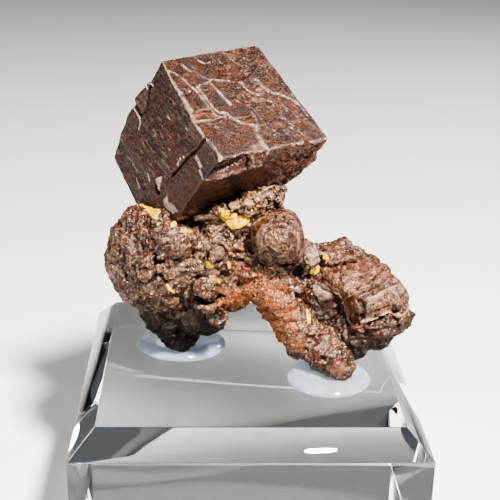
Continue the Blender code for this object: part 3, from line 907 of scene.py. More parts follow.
@dataclass
class BigCube:
    """The big tilted cube, worn and cracked, with raised veins on its top."""

    edges: Triple = (18.9, 18.9, 20.4)
    middle: Triple = (-5.0, 3.5, 56.2)
    lean: Triple = (35.05, -0.34, 36.3)
    first_cuts: int = 32
    second_cuts: int = 4
    edge_radius: float = 0.3
    pulls: dict = field(default_factory=lambda: {
        (-1, -1, 1): (-0.4, 0.0, 0.0),
        (-1, 1, 1): (0.7, 0.0, 0.0),
        (1, -1, 1): (0.4, 0.0, 0.2),
        (1, 1, 1): (-0.4, 0.1, 0.35),
        (-1, 1, -1): (-0.4, -0.1, -0.3),
        (-1, -1, -1): (-2.5, 0.0, 0.2),
    })
    cuts: tuple = (
        ((-1, -1, 1), (-1.0, -1.0, 1.0), 0.5),
        ((-1, -1, -1), (-1.0, -1.0, -1.0), 0.7),
        ((1, 1, 1), (1.0, 1.0, 0.35), 0.5),
        ((1, -1, 1), (1.0, -1.0, 0.6), 0.2),
    )
    break_point: Triple = (8.0, 0.0, 53.2)
    break_facing: Triple = (0.7, 0.1, -0.7)
    wander: tuple = (
        (0.0, 0.8, 3.0, 4.0, 6.0, 7.5, 9.0, 16.0, 18.9),
        (0.3, 0.3, 0.1, -0.3, -0.5, -0.7, -0.25, -0.2, 0.0),
    )
    bulge: tuple = (
        (0.0, 4.3, 4.6, 5.2, 6.5, 8.3, 8.6, 9.2, 9.5, 10.5, 12.2, 14.5, 17.3, 20.4),
        (0.0, 0.0, 0.4, 0.35, 0.7, 1.1, 1.05, 0.55, 0.6, 0.8, 0.9, 0.65, 0.33, 0.0),
    )

    def turn(self) -> Array:
        """The cube's own axes as a matrix."""
        return np.array(leaning(self.lean).to_matrix())

    def block(self) -> Piece:
        """Adds the plain cube in place, with a finer net on its three marked faces than behind.

        Returns:
            The cube.
        """
        obj = add_box("big_cube", Vector(self.middle) * MM, Vector(self.edges) * MM, leaning(self.lean))
        with edit_mode():
            bpy.ops.mesh.subdivide(number_cuts=self.first_cuts)
        pick_nothing("FACE")
        for face in obj.data.polygons:
            face.select = face.normal.z > 0.9 or face.normal.x < -0.9 or face.normal.y < -0.9
        with edit_mode():
            bpy.ops.mesh.subdivide(number_cuts=self.second_cuts, ngon=False)
            bpy.ops.mesh.select_all(action="INVERT")
            bpy.ops.mesh.subdivide(number_cuts=1, ngon=False)
        settle(obj)
        return obj

    def build(self) -> Piece:
        """Shapes the cube and gives it its tints.

        Returns:
            The finished piece.
        """
        obj = self.block()
        skin = Skin(obj)
        dress = Dress(skin)
        turn = self.turn()
        half = np.array(self.edges) / 2
        flat = (skin.points - np.array(self.middle)) @ turn
        unit = flat / half
        radius = self.edge_radius * (1.0 + 0.7 * smooth_noise(flat, 2.2, 5))[:, None]
        shaped = round_edges(flat, half, radius)
        right, back, down = flat[:, 0] + half[0], flat[:, 1] + half[1], half[2] - flat[:, 2]
        on_top, on_left, on_front = (unit[:, 2] > ON_FACE, unit[:, 0] < -ON_FACE, unit[:, 1] < -ON_FACE)
        wobble = drift(flat, 1.1, 11) * 0.1 + drift(flat, 0.35, 11) * 0.05
        x, y, z = right + wobble[:, 0], back + wobble[:, 1], down + wobble[:, 2]
        broken_up = np.clip(0.8 + 0.7 * smooth_noise(flat, 0.6, 14), 0.15, 1.2)
        shaped[:, 2] += dress.put(TOP_MARKS, np.stack([x, y], axis=1), on_top * broken_up)
        shaped[:, 2] += on_top * self.top_grain(flat, right)
        shaped[:, 0] -= dress.put(LEFT_MARKS, np.stack([y, z], axis=1), on_left * 1.0)
        shaped[:, 0] -= on_left * self.left_grain(flat, back, down)
        shaped[:, 1] -= dress.put(UNDER_MARKS, np.stack([x, z], axis=1), on_front * 1.0)
        shaped[:, 1] -= on_front * self.under_grain(flat, right, down)
        hidden = 1.0 - np.maximum(on_top * 1.0, np.maximum(on_left, on_front))
        relief = hidden * (0.13 * rough_noise(flat, 1.6, 4, 46) + 0.12 * self.threads(flat, 1.3, 47))
        shaped += relief[:, None] * np.where(np.abs(unit) > ON_FACE, np.sign(unit), 0.0)
        self.wander_edges(shaped, right, back, down)
        facets = [self.cut_corner(shaped, half, *cut) for cut in self.cuts]
        placed = shaped @ turn.T + np.array(self.middle)
        for corner, pull in self.pulls.items():
            placed += np.prod((1.0 + unit * np.array(corner)) / 2, axis=1)[:, None] * np.array(pull)
        broken = self.break_off(placed)
        skin.points = placed
        skin.look()
        self.tint(dress, flat, half, [on_top, on_left, on_front], broken)
        dress.add(PALE, facets[0] * 0.7)
        dress.finish()
        choose(obj)
        bpy.ops.object.shade_smooth_by_angle(angle=math.radians(40.0))
        return obj

    def top_grain(self, flat: Array, right: Array) -> Array:
        """Fine scales all over the top, rougher on its right half.

        Args:
            flat: The cube's points in its own frame.
            right: How far each point is from the left face.

        Returns:
            Heights in millimetres.
        """
        scales = self.threads(flat, 0.7, 21)
        hackle = ramp(right, 7.0, 12.0)
        grains, _ = beads(flat, 0.42, 23)
        rough = rough_noise(flat, 1.3, 4, 22) * (0.05 + 0.07 * hackle)
        return 0.06 * scales * (0.3 + hackle) + rough + 0.035 * grains * (0.7 + 0.6 * hackle)

    def threads(self, flat: Array, size: float, seed: int) -> Array:
        """A net of thin wandering lines, one on a line and nothing off it."""
        bent = flat + 0.5 * drift(flat, size * 0.6, seed)
        return hill(smooth_noise(bent, size * 2.0, seed + 5), 0.1)

    def streaks(self, back: Array, down: Array, length: float, size: float, seed: int) -> Array:
        """Fine lines that run along the left face, sinking a little towards the back."""
        drawn = np.stack([np.zeros(len(back)), back / length, down - 0.2 * back], axis=1)
        return smooth_noise(drawn, size, seed)

    def dashes(self, back: Array, down: Array) -> Array:
        """The short bright ledges of the left face, thickest in its middle.

        Args:
            back: How far each point is from the front.
            down: How far each point is below the top.

        Returns:
            One on a ledge and nothing off it.
        """
        busy = ramp(back, 3.0, 6.0) * (1.0 - 0.7 * ramp(back, 13.0, 16.0))
        busy *= 1.0 - 0.6 * ramp(down, 13.0, 16.0)
        return ramp(self.streaks(back, down, 3.6, 0.34, 35), 0.4, 0.75) * (0.25 + busy)

    def left_grain(self, flat: Array, back: Array, down: Array) -> Array:
        """Long fine steps that run along the top edge, with a lower strip behind a small step.

        Args:
            flat: The cube's points in its own frame.
            back: How far each point is from the front.
            down: How far each point is below the top.

        Returns:
            Heights in millimetres.
        """
        steps = self.streaks(back, down, 2.6, 0.3, 31) * 0.035 + self.streaks(back, down, 4.0, 1.2, 32) * 0.07
        pits = -0.12 * ramp(smooth_noise(flat, 0.5, 33), 0.45, 0.8) * ramp(back, 4.0, 7.0)
        strip = -0.3 * ramp(down, 16.15, 16.5) * ramp(back, 4.8, 5.4)
        grains = 0.07 * rough_noise(flat, 0.8, 3, 36) + 0.06 * rough_noise(flat, 2.6, 2, 34)
        return steps + pits + strip + grains + 0.06 * self.dashes(back, down)

    def under_grain(self, flat: Array, right: Array, down: Array) -> Array:
        """Nearly smooth ground, hackly towards the right and on the broken ledge.

        Args:
            flat: The cube's points in its own frame.
            right: How far each point is from the left face.
            down: How far each point is below the top.

        Returns:
            Heights in millimetres.
        """
        hackle = ramp(right, 10.5, 13.0) * (1.0 - ramp(down, 8.0, 12.0))
        rough, curls = crests(flat, 1.1, 41, 2.0), crests(flat, 0.55, 43)
        ledge = ramp(right, 0.4, 1.0) * (1.0 - ramp(right, 7.8, 8.4)) * (1.0 - ramp(down, 3.4, 4.2)) * 0.5
        lines = smooth_noise(flat * np.array((0.35, 1.0, 1.0)), 0.5, 44)
        fine = 0.11 * rough_noise(flat, 0.9, 4, 42) + 0.06 * lines + 0.1 * rough_noise(flat, 3.0, 2, 45)
        return fine + (hackle + ledge) * (0.3 * rough + 0.16 * curls)

    def wander_edges(self, shaped: Array, right: Array, back: Array, down: Array) -> None:
        """Lets the left top edge wander, and the plate bulge out past the far end of the left face.

        Args:
            shaped: The cube's points in its own frame, which are moved.
            right: How far each point is from the left face.
            back: How far each point is from the front.
            down: How far each point is below the top.
        """
        near_edge = hill(down, 1.6) * hill(right, 1.4)
        shaped[:, 0] += np.interp(back, *self.wander) * near_edge
        front_edge = hill(down, 1.2) * hill(back, 1.2)
        shaped[:, 1] += 0.16 * smooth_noise(np.stack([right, back, down], axis=1), 2.0, 51) * front_edge
        at_plate = np.interp(down, *self.bulge) * ramp(back, 17.3, 18.9) * hill(right, 1.8)
        shaped[:, 1] += at_plate
        shaped[:, 0] -= 0.4 * at_plate

    def cut_corner(self, shaped: Array, half: Array, corner: tuple, facing: tuple, depth: float) -> Array:
        """Takes a corner off with a small facet.

        Args:
            shaped: The cube's points in its own frame, which are moved.
            half: Half the cube's edges.
            corner: Which corner, as its three signs.
            facing: Which way the facet looks.
            depth: How much of the corner goes.

        Returns:
            One where the skin belongs to the facet, else nothing.
        """
        way = one_long(facing)
        past = (shaped - half * np.array(corner)) @ way + depth
        shaped -= np.maximum(past, 0.0)[:, None] * way
        return ramp(past, 0.0, 0.06)

    def break_off(self, points: Array) -> Array:
        """Pushes what lies past the break back onto it, and leaves the break uneven.

        Args:
            points: The cube's points in place, which are moved.

        Returns:
            One where the skin belongs to the break, else nothing.
        """
        facing = one_long(self.break_facing)
        past = (points - np.array(self.break_point)) @ facing
        uneven = smooth_noise(points, 2.4, 61) * 0.8 + rough_noise(points, 0.9, 3, 62) * 0.35
        points -= np.maximum(past - uneven, 0.0)[:, None] * facing
        return ramp(past - uneven, -0.1, 0.1)

    def tint(self, dress: Dress, flat: Array, half: Array, faces: list, broken: Array) -> None:
        """Colours the faces, partly with painted shade, the edges, partly worn and partly a painted
        highlight, and the break.

        Args:
            dress: The cube's tints.
            flat: The cube's points in its own frame.
            half: Half the cube's edges.
            faces: Which points are on the top, on the left face and on the underside that faces the camera.
            broken: How far each point belongs to the break.
        """
        top, left, front = faces
        to_edge = np.sort(half - np.abs(flat), axis=1)[:, 1]
        patchy = 0.55 + 0.6 * smooth_noise(flat, 0.9, 71)
        # Pale top edges, partly wear and partly a painted highlight, strongest on the near side
        near_side = (1.0 - ramp(flat[:, 0], 2.0, 8.0)) * (1.0 - ramp(flat[:, 1], 6.0, 9.4))
        bright = (0.35 + 0.55 * near_side) * hill(half[2] - flat[:, 2], 0.35)
        dress.add(PALE, hill(to_edge, 0.14) * np.clip(patchy, 0.1, 1.0) * bright)
        hackle = ramp(flat[:, 0], -3.0, 3.0)
        mottle = ramp(rough_noise(flat, 0.9, 4, 72), 0.0, 0.45)
        back, down = flat[:, 1] + half[1], half[2] - flat[:, 2]
        warm = hill(np.hypot(back - 9.0, (down - 4.5) * 1.4), 4.0)
        dress.add(RUST, mottle * np.select(faces[:2], [0.55 + 0.45 * hackle, 0.35 + 0.6 * warm], 1.2))
        dress.add(RUST, broken * 0.8)
        dress.add(RUST, front * 0.5 * hackle)
        hidden = ~(top | left | front)
        dress.add(WORN, hidden * 0.8 * self.threads(flat, 1.3, 47) * np.clip(patchy, 0.0, 1.0))
        net = top * self.threads(flat, 0.7, 21) * (0.25 + hackle)
        dress.add(WORN, net * 0.6)
        dress.add(ORANGE, net * 0.2)
        # Pale dashes on the small ledges of the left face: painted highlights
        dress.add(WORN, (left & ~top) * 0.65 * self.dashes(back, down))
        pale_spots = ramp(smooth_noise(flat, 0.45, 74), 0.55, 0.8)
        pale_spots *= ramp(smooth_noise(flat, 2.4, 75), -0.1, 0.4)
        dress.add(PALE, top * pale_spots * (0.06 + 0.08 * hackle))
        scabs = ramp(rough_noise(flat, 1.4, 3, 76), 0.15, 0.45)
        dress.add(DARK, top * scabs * 0.75)
        # How dark each face is: partly the stone's tone, partly painted shade, most on the underside that
        # faces down
        dark = np.select(faces, [0.4 + 0.2 * hackle, np.full(len(flat), 0.34), 0.62 - 0.4 * hackle], 0.45)
        dress.add(DARK, dark * (0.8 + 0.3 * smooth_noise(flat, 1.3, 73)))
        dress.wear_and_painted_light(3, 30, 0.1)
        dress.add(GRAIN_AND_GLINT, np.where(top, 0.12, 0.1))


# The matrix

LEFT_LUMPS = (
    Lump(-12.9, 0, 39.7, 8.7, 8.6, 8.5),
    Lump(-15.8, 0, 44.6, 3.6, 4.6, 3.4),
    Lump(-11.7, -4.4, 44.9, 4.3, 4.4, 4),
    Lump(-12, 0.5, 33.2, 5.4, 5.8, 5.6),
    Lump(-7.6, -0.8, 32.6, 4.6, 5.2, 4.8),
    Lump(-10.8, 0.2, 28.5, 3.4, 3.5, 3.8),
    Lump(-8, 5.2, 40.5, 7.4, 6.4, 6.2),
    Lump(-13.2, -7.2, 41.6, 0.9, 0.9, 0.9),
    Lump(-15.9, -6.6, 39.4, 1.3, 1.2, 1.3),
    Lump(-16, -5.6, 45.4, 0.7, 0.7, 0.7),
    Lump(-13.4, 0.6, 31.4, 2.8, 3.2, 2.8),
    Lump(-6.4, 0.4, 29.9, 3.1, 3.2, 2.8),
)
MIDDLE_LUMPS = (
    Lump(-5.4, -1.5, 41.2, 6.2, 6.2, 5.8),
    Lump(-0.8, -1.2, 42, 5.2, 5, 4.8),
    Lump(3.4, -2, 43.4, 4.4, 4.2, 4.4),
    Lump(7.4, -3, 41.2, 3, 3.4, 3),
    Lump(-6.2, -5.6, 35.2, 2.1, 2, 1.2),
    Lump(-2.6, -2.6, 37.2, 4.4, 4, 4.4),
    Lump(-5, -4.6, 32.5, 1.7, 1.9, 1.7),
    Lump(-6.7, -6.6, 37.8, 1.9, 1.8, 1.7),
    Lump(-5, -7, 43.3, 1.1, 1.3, 1.1),
    Lump(9.1, -5.4, 42.1, 1.4, 1.3, 1.4),
    Lump(7.4, -6.8, 37.4, 1.1, 1.1, 1.1),
    Lump(-1.5, 5, 43, 6, 5.6, 5.4),
    Lump(4.8, 1.8, 38.6, 4.6, 4.6, 4.4),
)
LEG_LUMPS = (
    Lump(0.4, -3, 37.8, 4, 3.8, 3.8),
    Lump(2.2, -3.6, 37, 3.4, 3.6, 3.4),
    Lump(3.8, -4.2, 35.7, 3.3, 3.6, 3.3),
    Lump(5, -4.8, 34, 3.2, 3.3, 3.2),
    Lump(6.2, -5.4, 32.2, 3.2, 3.3, 3.2),
    Lump(7.2, -6, 30.6, 3.2, 3.2, 3.1),
    Lump(8.4, -6.6, 29.3, 3.3, 3.1, 3.1),
    Lump(3.4, -4, 39.2, 3.2, 2.6, 2.6),
    Lump(3.2, -5.4, 40.4, 3.4, 2.1, 1.9),
    Lump(0, -4.8, 39.8, 2.8, 2.2, 2.2),
    Lump(1.8, -5, 38.7, 3, 2.1, 2.2),
    Lump(4.8, -5.4, 38.2, 2.8, 2, 2.2),
    Lump(6, -4.2, 37.4, 2.8, 2.6, 2.6),
    Lump(5, -6, 35, 2.4, 2.2, 2),
    Lump(10.8, -7.8, 28.1, 3.1, 3, 2.9),
    Lump(12.6, -9, 27.2, 2.8, 2.6, 2.5),
    Lump(13.9, -9.9, 26.4, 1.9, 1.9, 1.9),
)
NECK_LUMPS = (
    Lump(-1, -1, 47, 4.5, 4.4, 4.6),
    Lump(1.6, -0.2, 48.8, 2.9, 3.4, 3.6),
    Lump(-4.6, -1.5, 46, 3.9, 3.9, 3.3),
)
NECK_RIM = (
    Lump(4.9, -1.6, 51.3, 0.5, 0.8, 0.5),
    Lump(4.6, -1.8, 50.4, 0.5, 0.8, 0.8),
    Lump(4.3, -2, 49.4, 0.6, 0.9, 0.9),
    Lump(-4.4, -5, 48.8, 1, 0.9, 0.9),
    Lump(-0.2, -4.6, 49.6, 1.6, 1.3, 1.5),
)
RIGHT_LUMPS = (
    Lump(11.2, 1.2, 39.2, 2.3, 2.2, 2.3),
    Lump(16.6, 2.6, 38.9, 2, 1.8, 1.5),
    Lump(18.6, 2.8, 38.1, 2, 1.7, 1.3),
    Lump(20.4, 2, 36.6, 2, 1.6, 1.4),
    Lump(8, -0.6, 36.4, 3.6, 4, 3.9),
    Lump(12.5, 1.6, 34.4, 4.4, 4.2, 4.4),
    Lump(10.8, -3.6, 33, 3, 2.8, 4),
    Lump(15.4, -4, 29.5, 4.4, 4.2, 4),
    Lump(18.8, -3.6, 30.1, 4.1, 3.9, 3.4),
    Lump(21.6, -4.6, 31.2, 2.2, 2.2, 2.2),
    Lump(19.4, -6.6, 31.6, 2.8, 2.4, 2.3),
    Lump(21.3, 0, 34.8, 2.2, 2.4, 2.2),
)
SQUAT = Block((17.3, -2.4, 33.4), (10, 10, 7.6), (0.13, -0.32, 0.94), (0.8, 0.59, 0.09))
SPUR = Block((22.9, -5.5, 32.4), (3.2, 3, 2.8), (0.13, -0.32, 0.94), (0.8, 0.59, 0.09))
BACK_SLAB = Block((13.2, 1, 39.6), (5.4, 4.4, 3.4), (0.05, -0.45, 0.9), (0.95, 0.3, 0.1))
NECK_PLATES = (
    Block((-7, -5.7, 48.5), (2.9, 1.6, 0.4), (0, -0.55, 0.83), (1, 0, 0.25)),
    Block((2.3, -4.2, 52.8), (1.6, 1.3, 0.6), (-0.1, -0.8, 0.6), (1, 0, 0.3)),
    Block((4, -3, 50.2), (0.9, 0.8, 0.4), (0.2, -0.9, 0.4), (1, 0, 0.5)),
    Block((-2.4, -5.4, 50), (1.6, 1.2, 0.5), (-0.3, -0.8, 0.5), (1, 0, 0.6)),
)
NECK_GRIT = ((0.6, 1.7), (0.5, 1.2), (0.2, 0.45))


def crowd(lumps: tuple, count: int, edges: tuple, bare: tuple, seed: int) -> tuple:
    """Scatters small plates over balls, each turned its own way, as a cavernous crust grows.

    Args:
        lumps: The balls that carry the plates.
        count: How many plates.
        edges: The smallest and largest value of each of a plate's three edges.
        bare: Areas of the camera's view that stay bare.
        seed: Picks another crowd.

    Returns:
        The plates.
    """
    draw = np.random.default_rng(seed)
    plates = []
    for _ in range(count):
        lump = lumps[draw.integers(len(lumps))]
        way = draw.normal(size=3)
        way /= np.linalg.norm(way)
        reach = np.array((lump.across, lump.deep, lump.high)) * draw.uniform(0.92, 1.06)
        place = np.array((lump.x, lump.y, lump.z)) + way * reach
        size = [draw.uniform(low, high) for low, high in edges]
        if place[1] < 0.0 and any(area.share(EYE.pixels(place[None]))[0] > 0.5 for area in bare):
            continue
        up, along = tuple(draw.normal(size=3)), tuple(draw.normal(size=3))
        plates.append(Block(tuple(place), tuple(size), up, along))
    return tuple(plates)


LEFT_FLAKES = (
    patch(((138.2, 205.3), (143.9, 206.9), (152.2, 208.8), (160.2, 210.1), (160.8, 212.7), (158.6, 215.9),
           (157, 219.7), (152.8, 219), (149, 214.6), (145.2, 210.1)), 0.35, YELLOW, 1, 0.8),
    spot((173.9, 225.4), (3.2, 3.4, 20), 0.4, YELLOW, 0.9),
    patch(((180, 230.2), (184.5, 228.8), (187.5, 231), (192, 231.2), (191, 233.4), (180.5, 232.8)), 0.3,
          YELLOW, 1, 0.7),
    patch(((165, 282), (167.6, 284), (171.5, 288), (175.2, 292.6), (172.6, 292.8), (168.8, 289.4)), 0.3,
          YELLOW, 1, 0.8),
    spot((159, 224.6), (2.8, 1.2, -35), 0.3, YELLOW, 0.5),
)
# Its small nodules, with the grooves round them
LEFT_NODULES = (
    spot((154.4, 222.2), (2.6, 2.6), 0.45, WORN, 0.5),
    vein(((151.6, 224), (153.6, 226), (156.6, 225)), -0.35, 1.1, DARK, 0.9),
    spot((143.3, 230.8), (4.2, 3.8), 0.45, WORN, 0.6),
    vein(((138.6, 230.6), (140.4, 227), (144.4, 225.6)), -0.25, 1, DARK, 0.7),
    spot((161.8, 256), (3.8, 3.6), 0.5, WORN, 0.7),
    vein(((155.6, 258.6), (158.6, 262), (163.4, 261)), -0.6, 1.3, DARK, 1),
    vein(((155, 257.2), (156.8, 255.2)), -0.4, 1, DARK, 0.9),
    spot((170.7, 273.3), (4.8, 4.8), 0.45, WORN, 0.55),
    spot((174.5, 280.3), (3.6, 3.2), 0.35, WORN, 0.6),
    spot((147.1, 275.8), (7.4, 6), 0.7, WORN, 0.35),
    vein(((140.5, 281.6), (145.8, 283.4), (151.5, 280.4), (155, 276)), -0.8, 1.6, DARK, 1),
    spot((159, 269), (1.8, 4.6, -15), 0.25, WORN, 0.9),
    vein(((160.4, 275), (163, 279), (166, 282)), -0.7, 1.5, DARK, 1),
)
# The overlapping plates at its far left
LEFT_PLATES = (
    vein(((126, 239), (130, 235), (135, 233)), 0.3, 1.5, RUST, 0.7),
    patch(((123.8, 243), (127.5, 242), (130.2, 245.4), (126.6, 246.8)), 0.3, WORN, 0.6, 0.8),
    patch(((122, 247), (126, 247.4), (127, 252), (123.6, 251)), 0.25, WORN, 0.5, 0.8),
    patch(((128, 247.6), (133.4, 248), (134.6, 252.6), (130, 252.6)), 0.25, WORN, 0.5, 0.8),
)
# Broad folds between the nodules
LEFT_FOLDS = (
    vein(((119.6, 246), (122.4, 256), (121.4, 266), (126, 276)), -0.3, 1.6, DARK, 0.6),
    vein(((134, 246), (139.6, 256), (138, 267), (141, 273)), -0.22, 1.3, DARK, 0.5),
    vein(((142, 268), (146, 259), (153, 253)), 0.25, 1.6, WORN, 0.4),
    vein(((148, 262), (153.6, 256.4)), 0.3, 1.2, WORN, 0.5),
)
# Rusty and deep places, and the groove under the cube, darkened as painted shadow
LEFT_SHADES = (
    spot((131, 258), (7, 9), 0.3, RUST, 0.35),
    patch(((181, 327), (189.6, 326), (190.4, 336), (186, 343), (180.6, 338)), 0, WORN, 0.25, 0.8),
    vein(((172, 216.5), (181, 220), (192.4, 225.4)), -0.9, 2.6, DARK, 1),
    vein(((183.6, 291), (180, 300), (186, 309)), -0.4, 1.6, DARK, 0.8),
)
LEFT_MARKS_SEEN = LEFT_FLAKES + LEFT_NODULES + LEFT_PLATES + LEFT_FOLDS + LEFT_SHADES
# The yellow flake's place stays bare of plates
NECK_BARE = (Spot(234, 219, 18, 11),)
NECK_CROWD = crowd(NECK_LUMPS + NECK_RIM[3:], 380, NECK_GRIT, NECK_BARE, 7)
# The seam between the left and the middle mass, the yellow crust above it, and painted shadow in the gap
# under the neck
LEFT_SEAM = (
    vein(((200.3, 228.4), (191.2, 236.1), (185.5, 243.1), (185.2, 251.5), (186.9, 261.3), (188.4, 269.8)),
         -0.45, 0.9, DARK, 1),
    vein(((227.6, 232.6), (232.6, 230.6), (237.5, 231)), 0.25, 0.9, YELLOW, 0.95),
    vein(((215, 226.4), (218.6, 222.4), (222, 219.6)), 0.25, 0.9, YELLOW, 0.8),
    vein(((205, 226.4), (214, 229), (223, 229.4)), -0.5, 1.5, DARK, 0.9),
)
ROUND_NODULE = (
    patch(((210.6, 249), (215, 246.4), (221, 247.6), (223.6, 253), (221, 258.4), (214.6, 259.4),
           (210, 255.6)), 0.5, WORN, 0.35, 1.6),
    Mark(Ring(216.2, 253, 9, 8.4, 1), -0.25, DARK, 0.5),
    Mark(Ring(216, 252.4, 11.2, 10.4, 1.1), 0.2, RUST, 0.7),
    spot((212.9, 258.2), (3, 2.4), 0.5, RUST, 0.9),
)
MIDDLE_FLAKES = (
    patch(((205.7, 261), (210, 260.6), (214.4, 265), (213, 268), (206.4, 267.4)), 0.3, YELLOW, 0.9,
          0.7),
    patch(((227.4, 259.4), (230.2, 262.6), (231, 267.6), (228, 268.6), (226.4, 265)), 0.25, YELLOW, 0.7,
          0.6),
    patch(((208.5, 275.4), (214.6, 274.2), (219, 277.6), (221, 283.2), (214, 281)), 0.3, YELLOW, 1,
          0.7),
    patch(((217.6, 264), (223, 261.6), (227.6, 263), (225, 270), (219, 273.4)), 0.2, RUST, 0.85, 0.7),
)
# Rusty spindles under the knob
SPINDLES = (
    spot((239.6, 249.2), (5.4, 1.8, 12), 0.35, ORANGE, 0.6),
    spot((231.2, 254.6), (5.4, 1.8, 18), 0.35, ORANGE, 0.6),
    vein(((234, 252), (240, 252.6), (246, 252)), -0.3, 0.9, DARK, 0.7),
    spot((242.5, 264), (11.5, 7), -0.2, RUST, 0.8),
    spot((239, 260.4), (6, 1.6, 10), -0.3, DARK, 0.5),
    spot((236, 298), (12, 11), 0, ORANGE, 0.9),
)
# The large nodule over the left foot, with painted shadow in the grooves at its left and below it
LARGE_NODULE = (
    spot((207.3, 288), (14, 9.6, 12), 0.5, RUST, 0.3),
    vein(((198, 298.5), (206, 303.4), (215.7, 301.5), (219, 296)), -1, 1.9, DARK, 1),
    vein(((195.4, 278), (192.6, 287), (194, 296)), -0.6, 1.4, DARK, 0.9),
    vein(((197, 287), (205, 284.6), (216, 286)), -0.2, 0.9, DARK, 0.5),
    vein(((198, 292.6), (206, 290), (218, 291.6)), -0.2, 1, DARK, 0.5),
    vein(((200, 280.6), (208, 279), (217, 282)), 0.15, 1.6, WORN, 0.6),
    spot((204.8, 307), (9.4, 3.6, 22), 0.5, WORN, 0.5),
)
# The tan facet at the bridge's left end, and the dark crystal under it
TAN_FACET = (
    patch(((216.6, 290), (221, 286), (228.6, 287.4), (230, 298), (226.4, 309), (218, 309.8), (215.4, 300)),
          0.25, ORANGE, 0.9, 0.8),
    spot((223, 297), (8, 12), 0, WORN, 0.6),
    spot((216.3, 315.7), (8.4, 6, -12), -0.5, DARK, 1),
    Mark(Ring(216.3, 315.7, 9.2, 6.8, 0.9), 0.25, RUST, 0.6),
    spot((237, 283), (4, 3), -0.4, DARK, 0.7),
    spot((225.2, 275.2), (4.6, 2.6), -0.4, DARK, 0.7),
)
LEG_FLAKE = (
    patch(((304.8, 309.5), (307.4, 311), (309.6, 316), (309.8, 324), (306.6, 324.4), (306.2, 316.6)), 0.3,
          YELLOW, 0.9, 0.6),
)
# The bridge's orange skin, with painted shade in a dark band along the lower edge of its lobes
BRIDGE_COLOUR = (
    spot((264, 292), (30, 17, 24), 0, ORANGE, 0.75),
    spot((284, 318), (15, 16, -30), 0, ORANGE, 0.7),
    spot((296, 340), (7, 12, -20), 0, ORANGE, 0.5),
    vein(((232, 314), (243, 306), (252, 303.4), (262, 309), (272, 326), (284, 347)), 0, 4.5, ORANGE,
         1),
    vein(((266, 311), (275, 320), (286, 324), (294, 322)), -0.25, 2.6, DARK, 0.4),
    spot((246, 272), (20, 9, 10), 0, ORANGE, 0.35),
)
# The seam between the leg and the right mass, with painted shadow under the knob and painted shade in the
# hole beside it
RIGHT_SEAM = (
    vein(((290, 280), (291.4, 288), (294, 297)), 0.1, 1.2, PALE, 0.5),
    spot((313.8, 270.4), (4.8, 4, -40), 0.45, YELLOW, 1),
    patch(((303.5, 251), (311, 247.6), (316.6, 252.6), (316.4, 261), (311, 264.6), (304, 259)), 0.3,
          PALE, 0.3, 0.8),
    spot((299.6, 289.6), (4.6, 4.6), 0.4, RUST, 0.8),
    spot((276, 262.5), (20, 3), -0.2, DARK, 0.5),
    spot((297, 271), (8, 4.6, -35), -0.6, DARK, 0.7),
)
FOOT_NODULE = (
    spot((340, 369.3), (9.8, 8.8), 0.2, RUST, 0.4),
    vein(((333.4, 371), (334.4, 364.6), (341, 361.4), (348, 364.6)), 0.16, 1.3, ORANGE, 0.5),
    patch(((335, 366), (341, 363.6), (346.6, 366.6), (346, 373), (340, 375.6), (335, 371.6)), 0.15,
          WORN, 0.6, 1.4),
)
MIDDLE_MARKS_SEEN = (LEFT_SEAM + ROUND_NODULE + MIDDLE_FLAKES + SPINDLES + LARGE_NODULE + TAN_FACET
                     + LEG_FLAKE + BRIDGE_COLOUR + RIGHT_SEAM + FOOT_NODULE)
NECK_FLAKES = (
    patch(((219.9, 213.6), (223.8, 211), (228.4, 210.1), (235.4, 212.2), (238.9, 215.7), (244, 214.6),
           (249.4, 215), (249.8, 220.6), (245.9, 224.8), (238.2, 229.1), (231.2, 228.4), (226.9, 225.5),
           (224.8, 220.6)), 0.5, YELLOW, 1, 0.9),
    vein(((226.4, 219.6), (233, 219.4), (239.4, 217.6)), -0.15, 0.7, RUST, 0.5),
    patch(((218, 210.6), (221.6, 208.6), (224.4, 210), (221.6, 213.4)), 0.2, YELLOW, 0.8, 0.8),
)
# The rusty cavity at its right
NECK_CAVITY = (
    spot((267, 202), (5, 4.4, -30), -0.4, DARK, 0.5),
    spot((266, 203), (5, 4, -30), 0, RUST, 1),
)
# Pale, yellow and worn places of its crust
NECK_SHADES = (
    spot((269, 186), (6, 4.4, -20), 0.05, PALE, 0.3),
    spot((240, 206), (44, 22, -24), 0, YELLOW, 0.315),
    spot((203, 215.4), (8, 2.4, -12), 0, PALE, 0.35),
    spot((249, 203), (5, 2.6, 10), 0, PALE, 0.4),
    spot((251, 196), (5, 6), 0, WORN, 0.6),
    spot((230, 203), (6, 5), 0, PALE, 0.3),
    spot((245, 210), (8, 4), 0, WORN, 0.6),
    spot((282, 196), (2.6, 12, 4), 0, WORN, 0.9),
    vein(((262, 194.4), (269, 190), (276, 186.6)), -0.3, 1, DARK, 0.8),
)
NECK_MARKS_SEEN = NECK_FLAKES + NECK_CAVITY + NECK_SHADES
# Yellow flakes between the leg and the squat crystal
RIGHT_FLAKES = (
    spot((313.8, 270.4), (4.8, 4, -40), 0.45, YELLOW, 1),
    patch(((322.4, 253.6), (326.6, 255), (329.2, 260.4), (326.6, 261), (323.2, 259.4)), 0.25, YELLOW,
          1, 0.6),
)
# The grey facet left of the squat crystal
GREY_FACET = (
    patch(((311.5, 290), (314.5, 282.5), (320, 284), (330, 293.5), (331.5, 299), (326, 300.5), (319, 299.5)),
          0.1, PALE, 0.3, 0.6),
    vein(((317.5, 284), (322.7, 289.2), (328, 290), (332.9, 293.3)), -0.28, 1.2, DARK, 1),
)
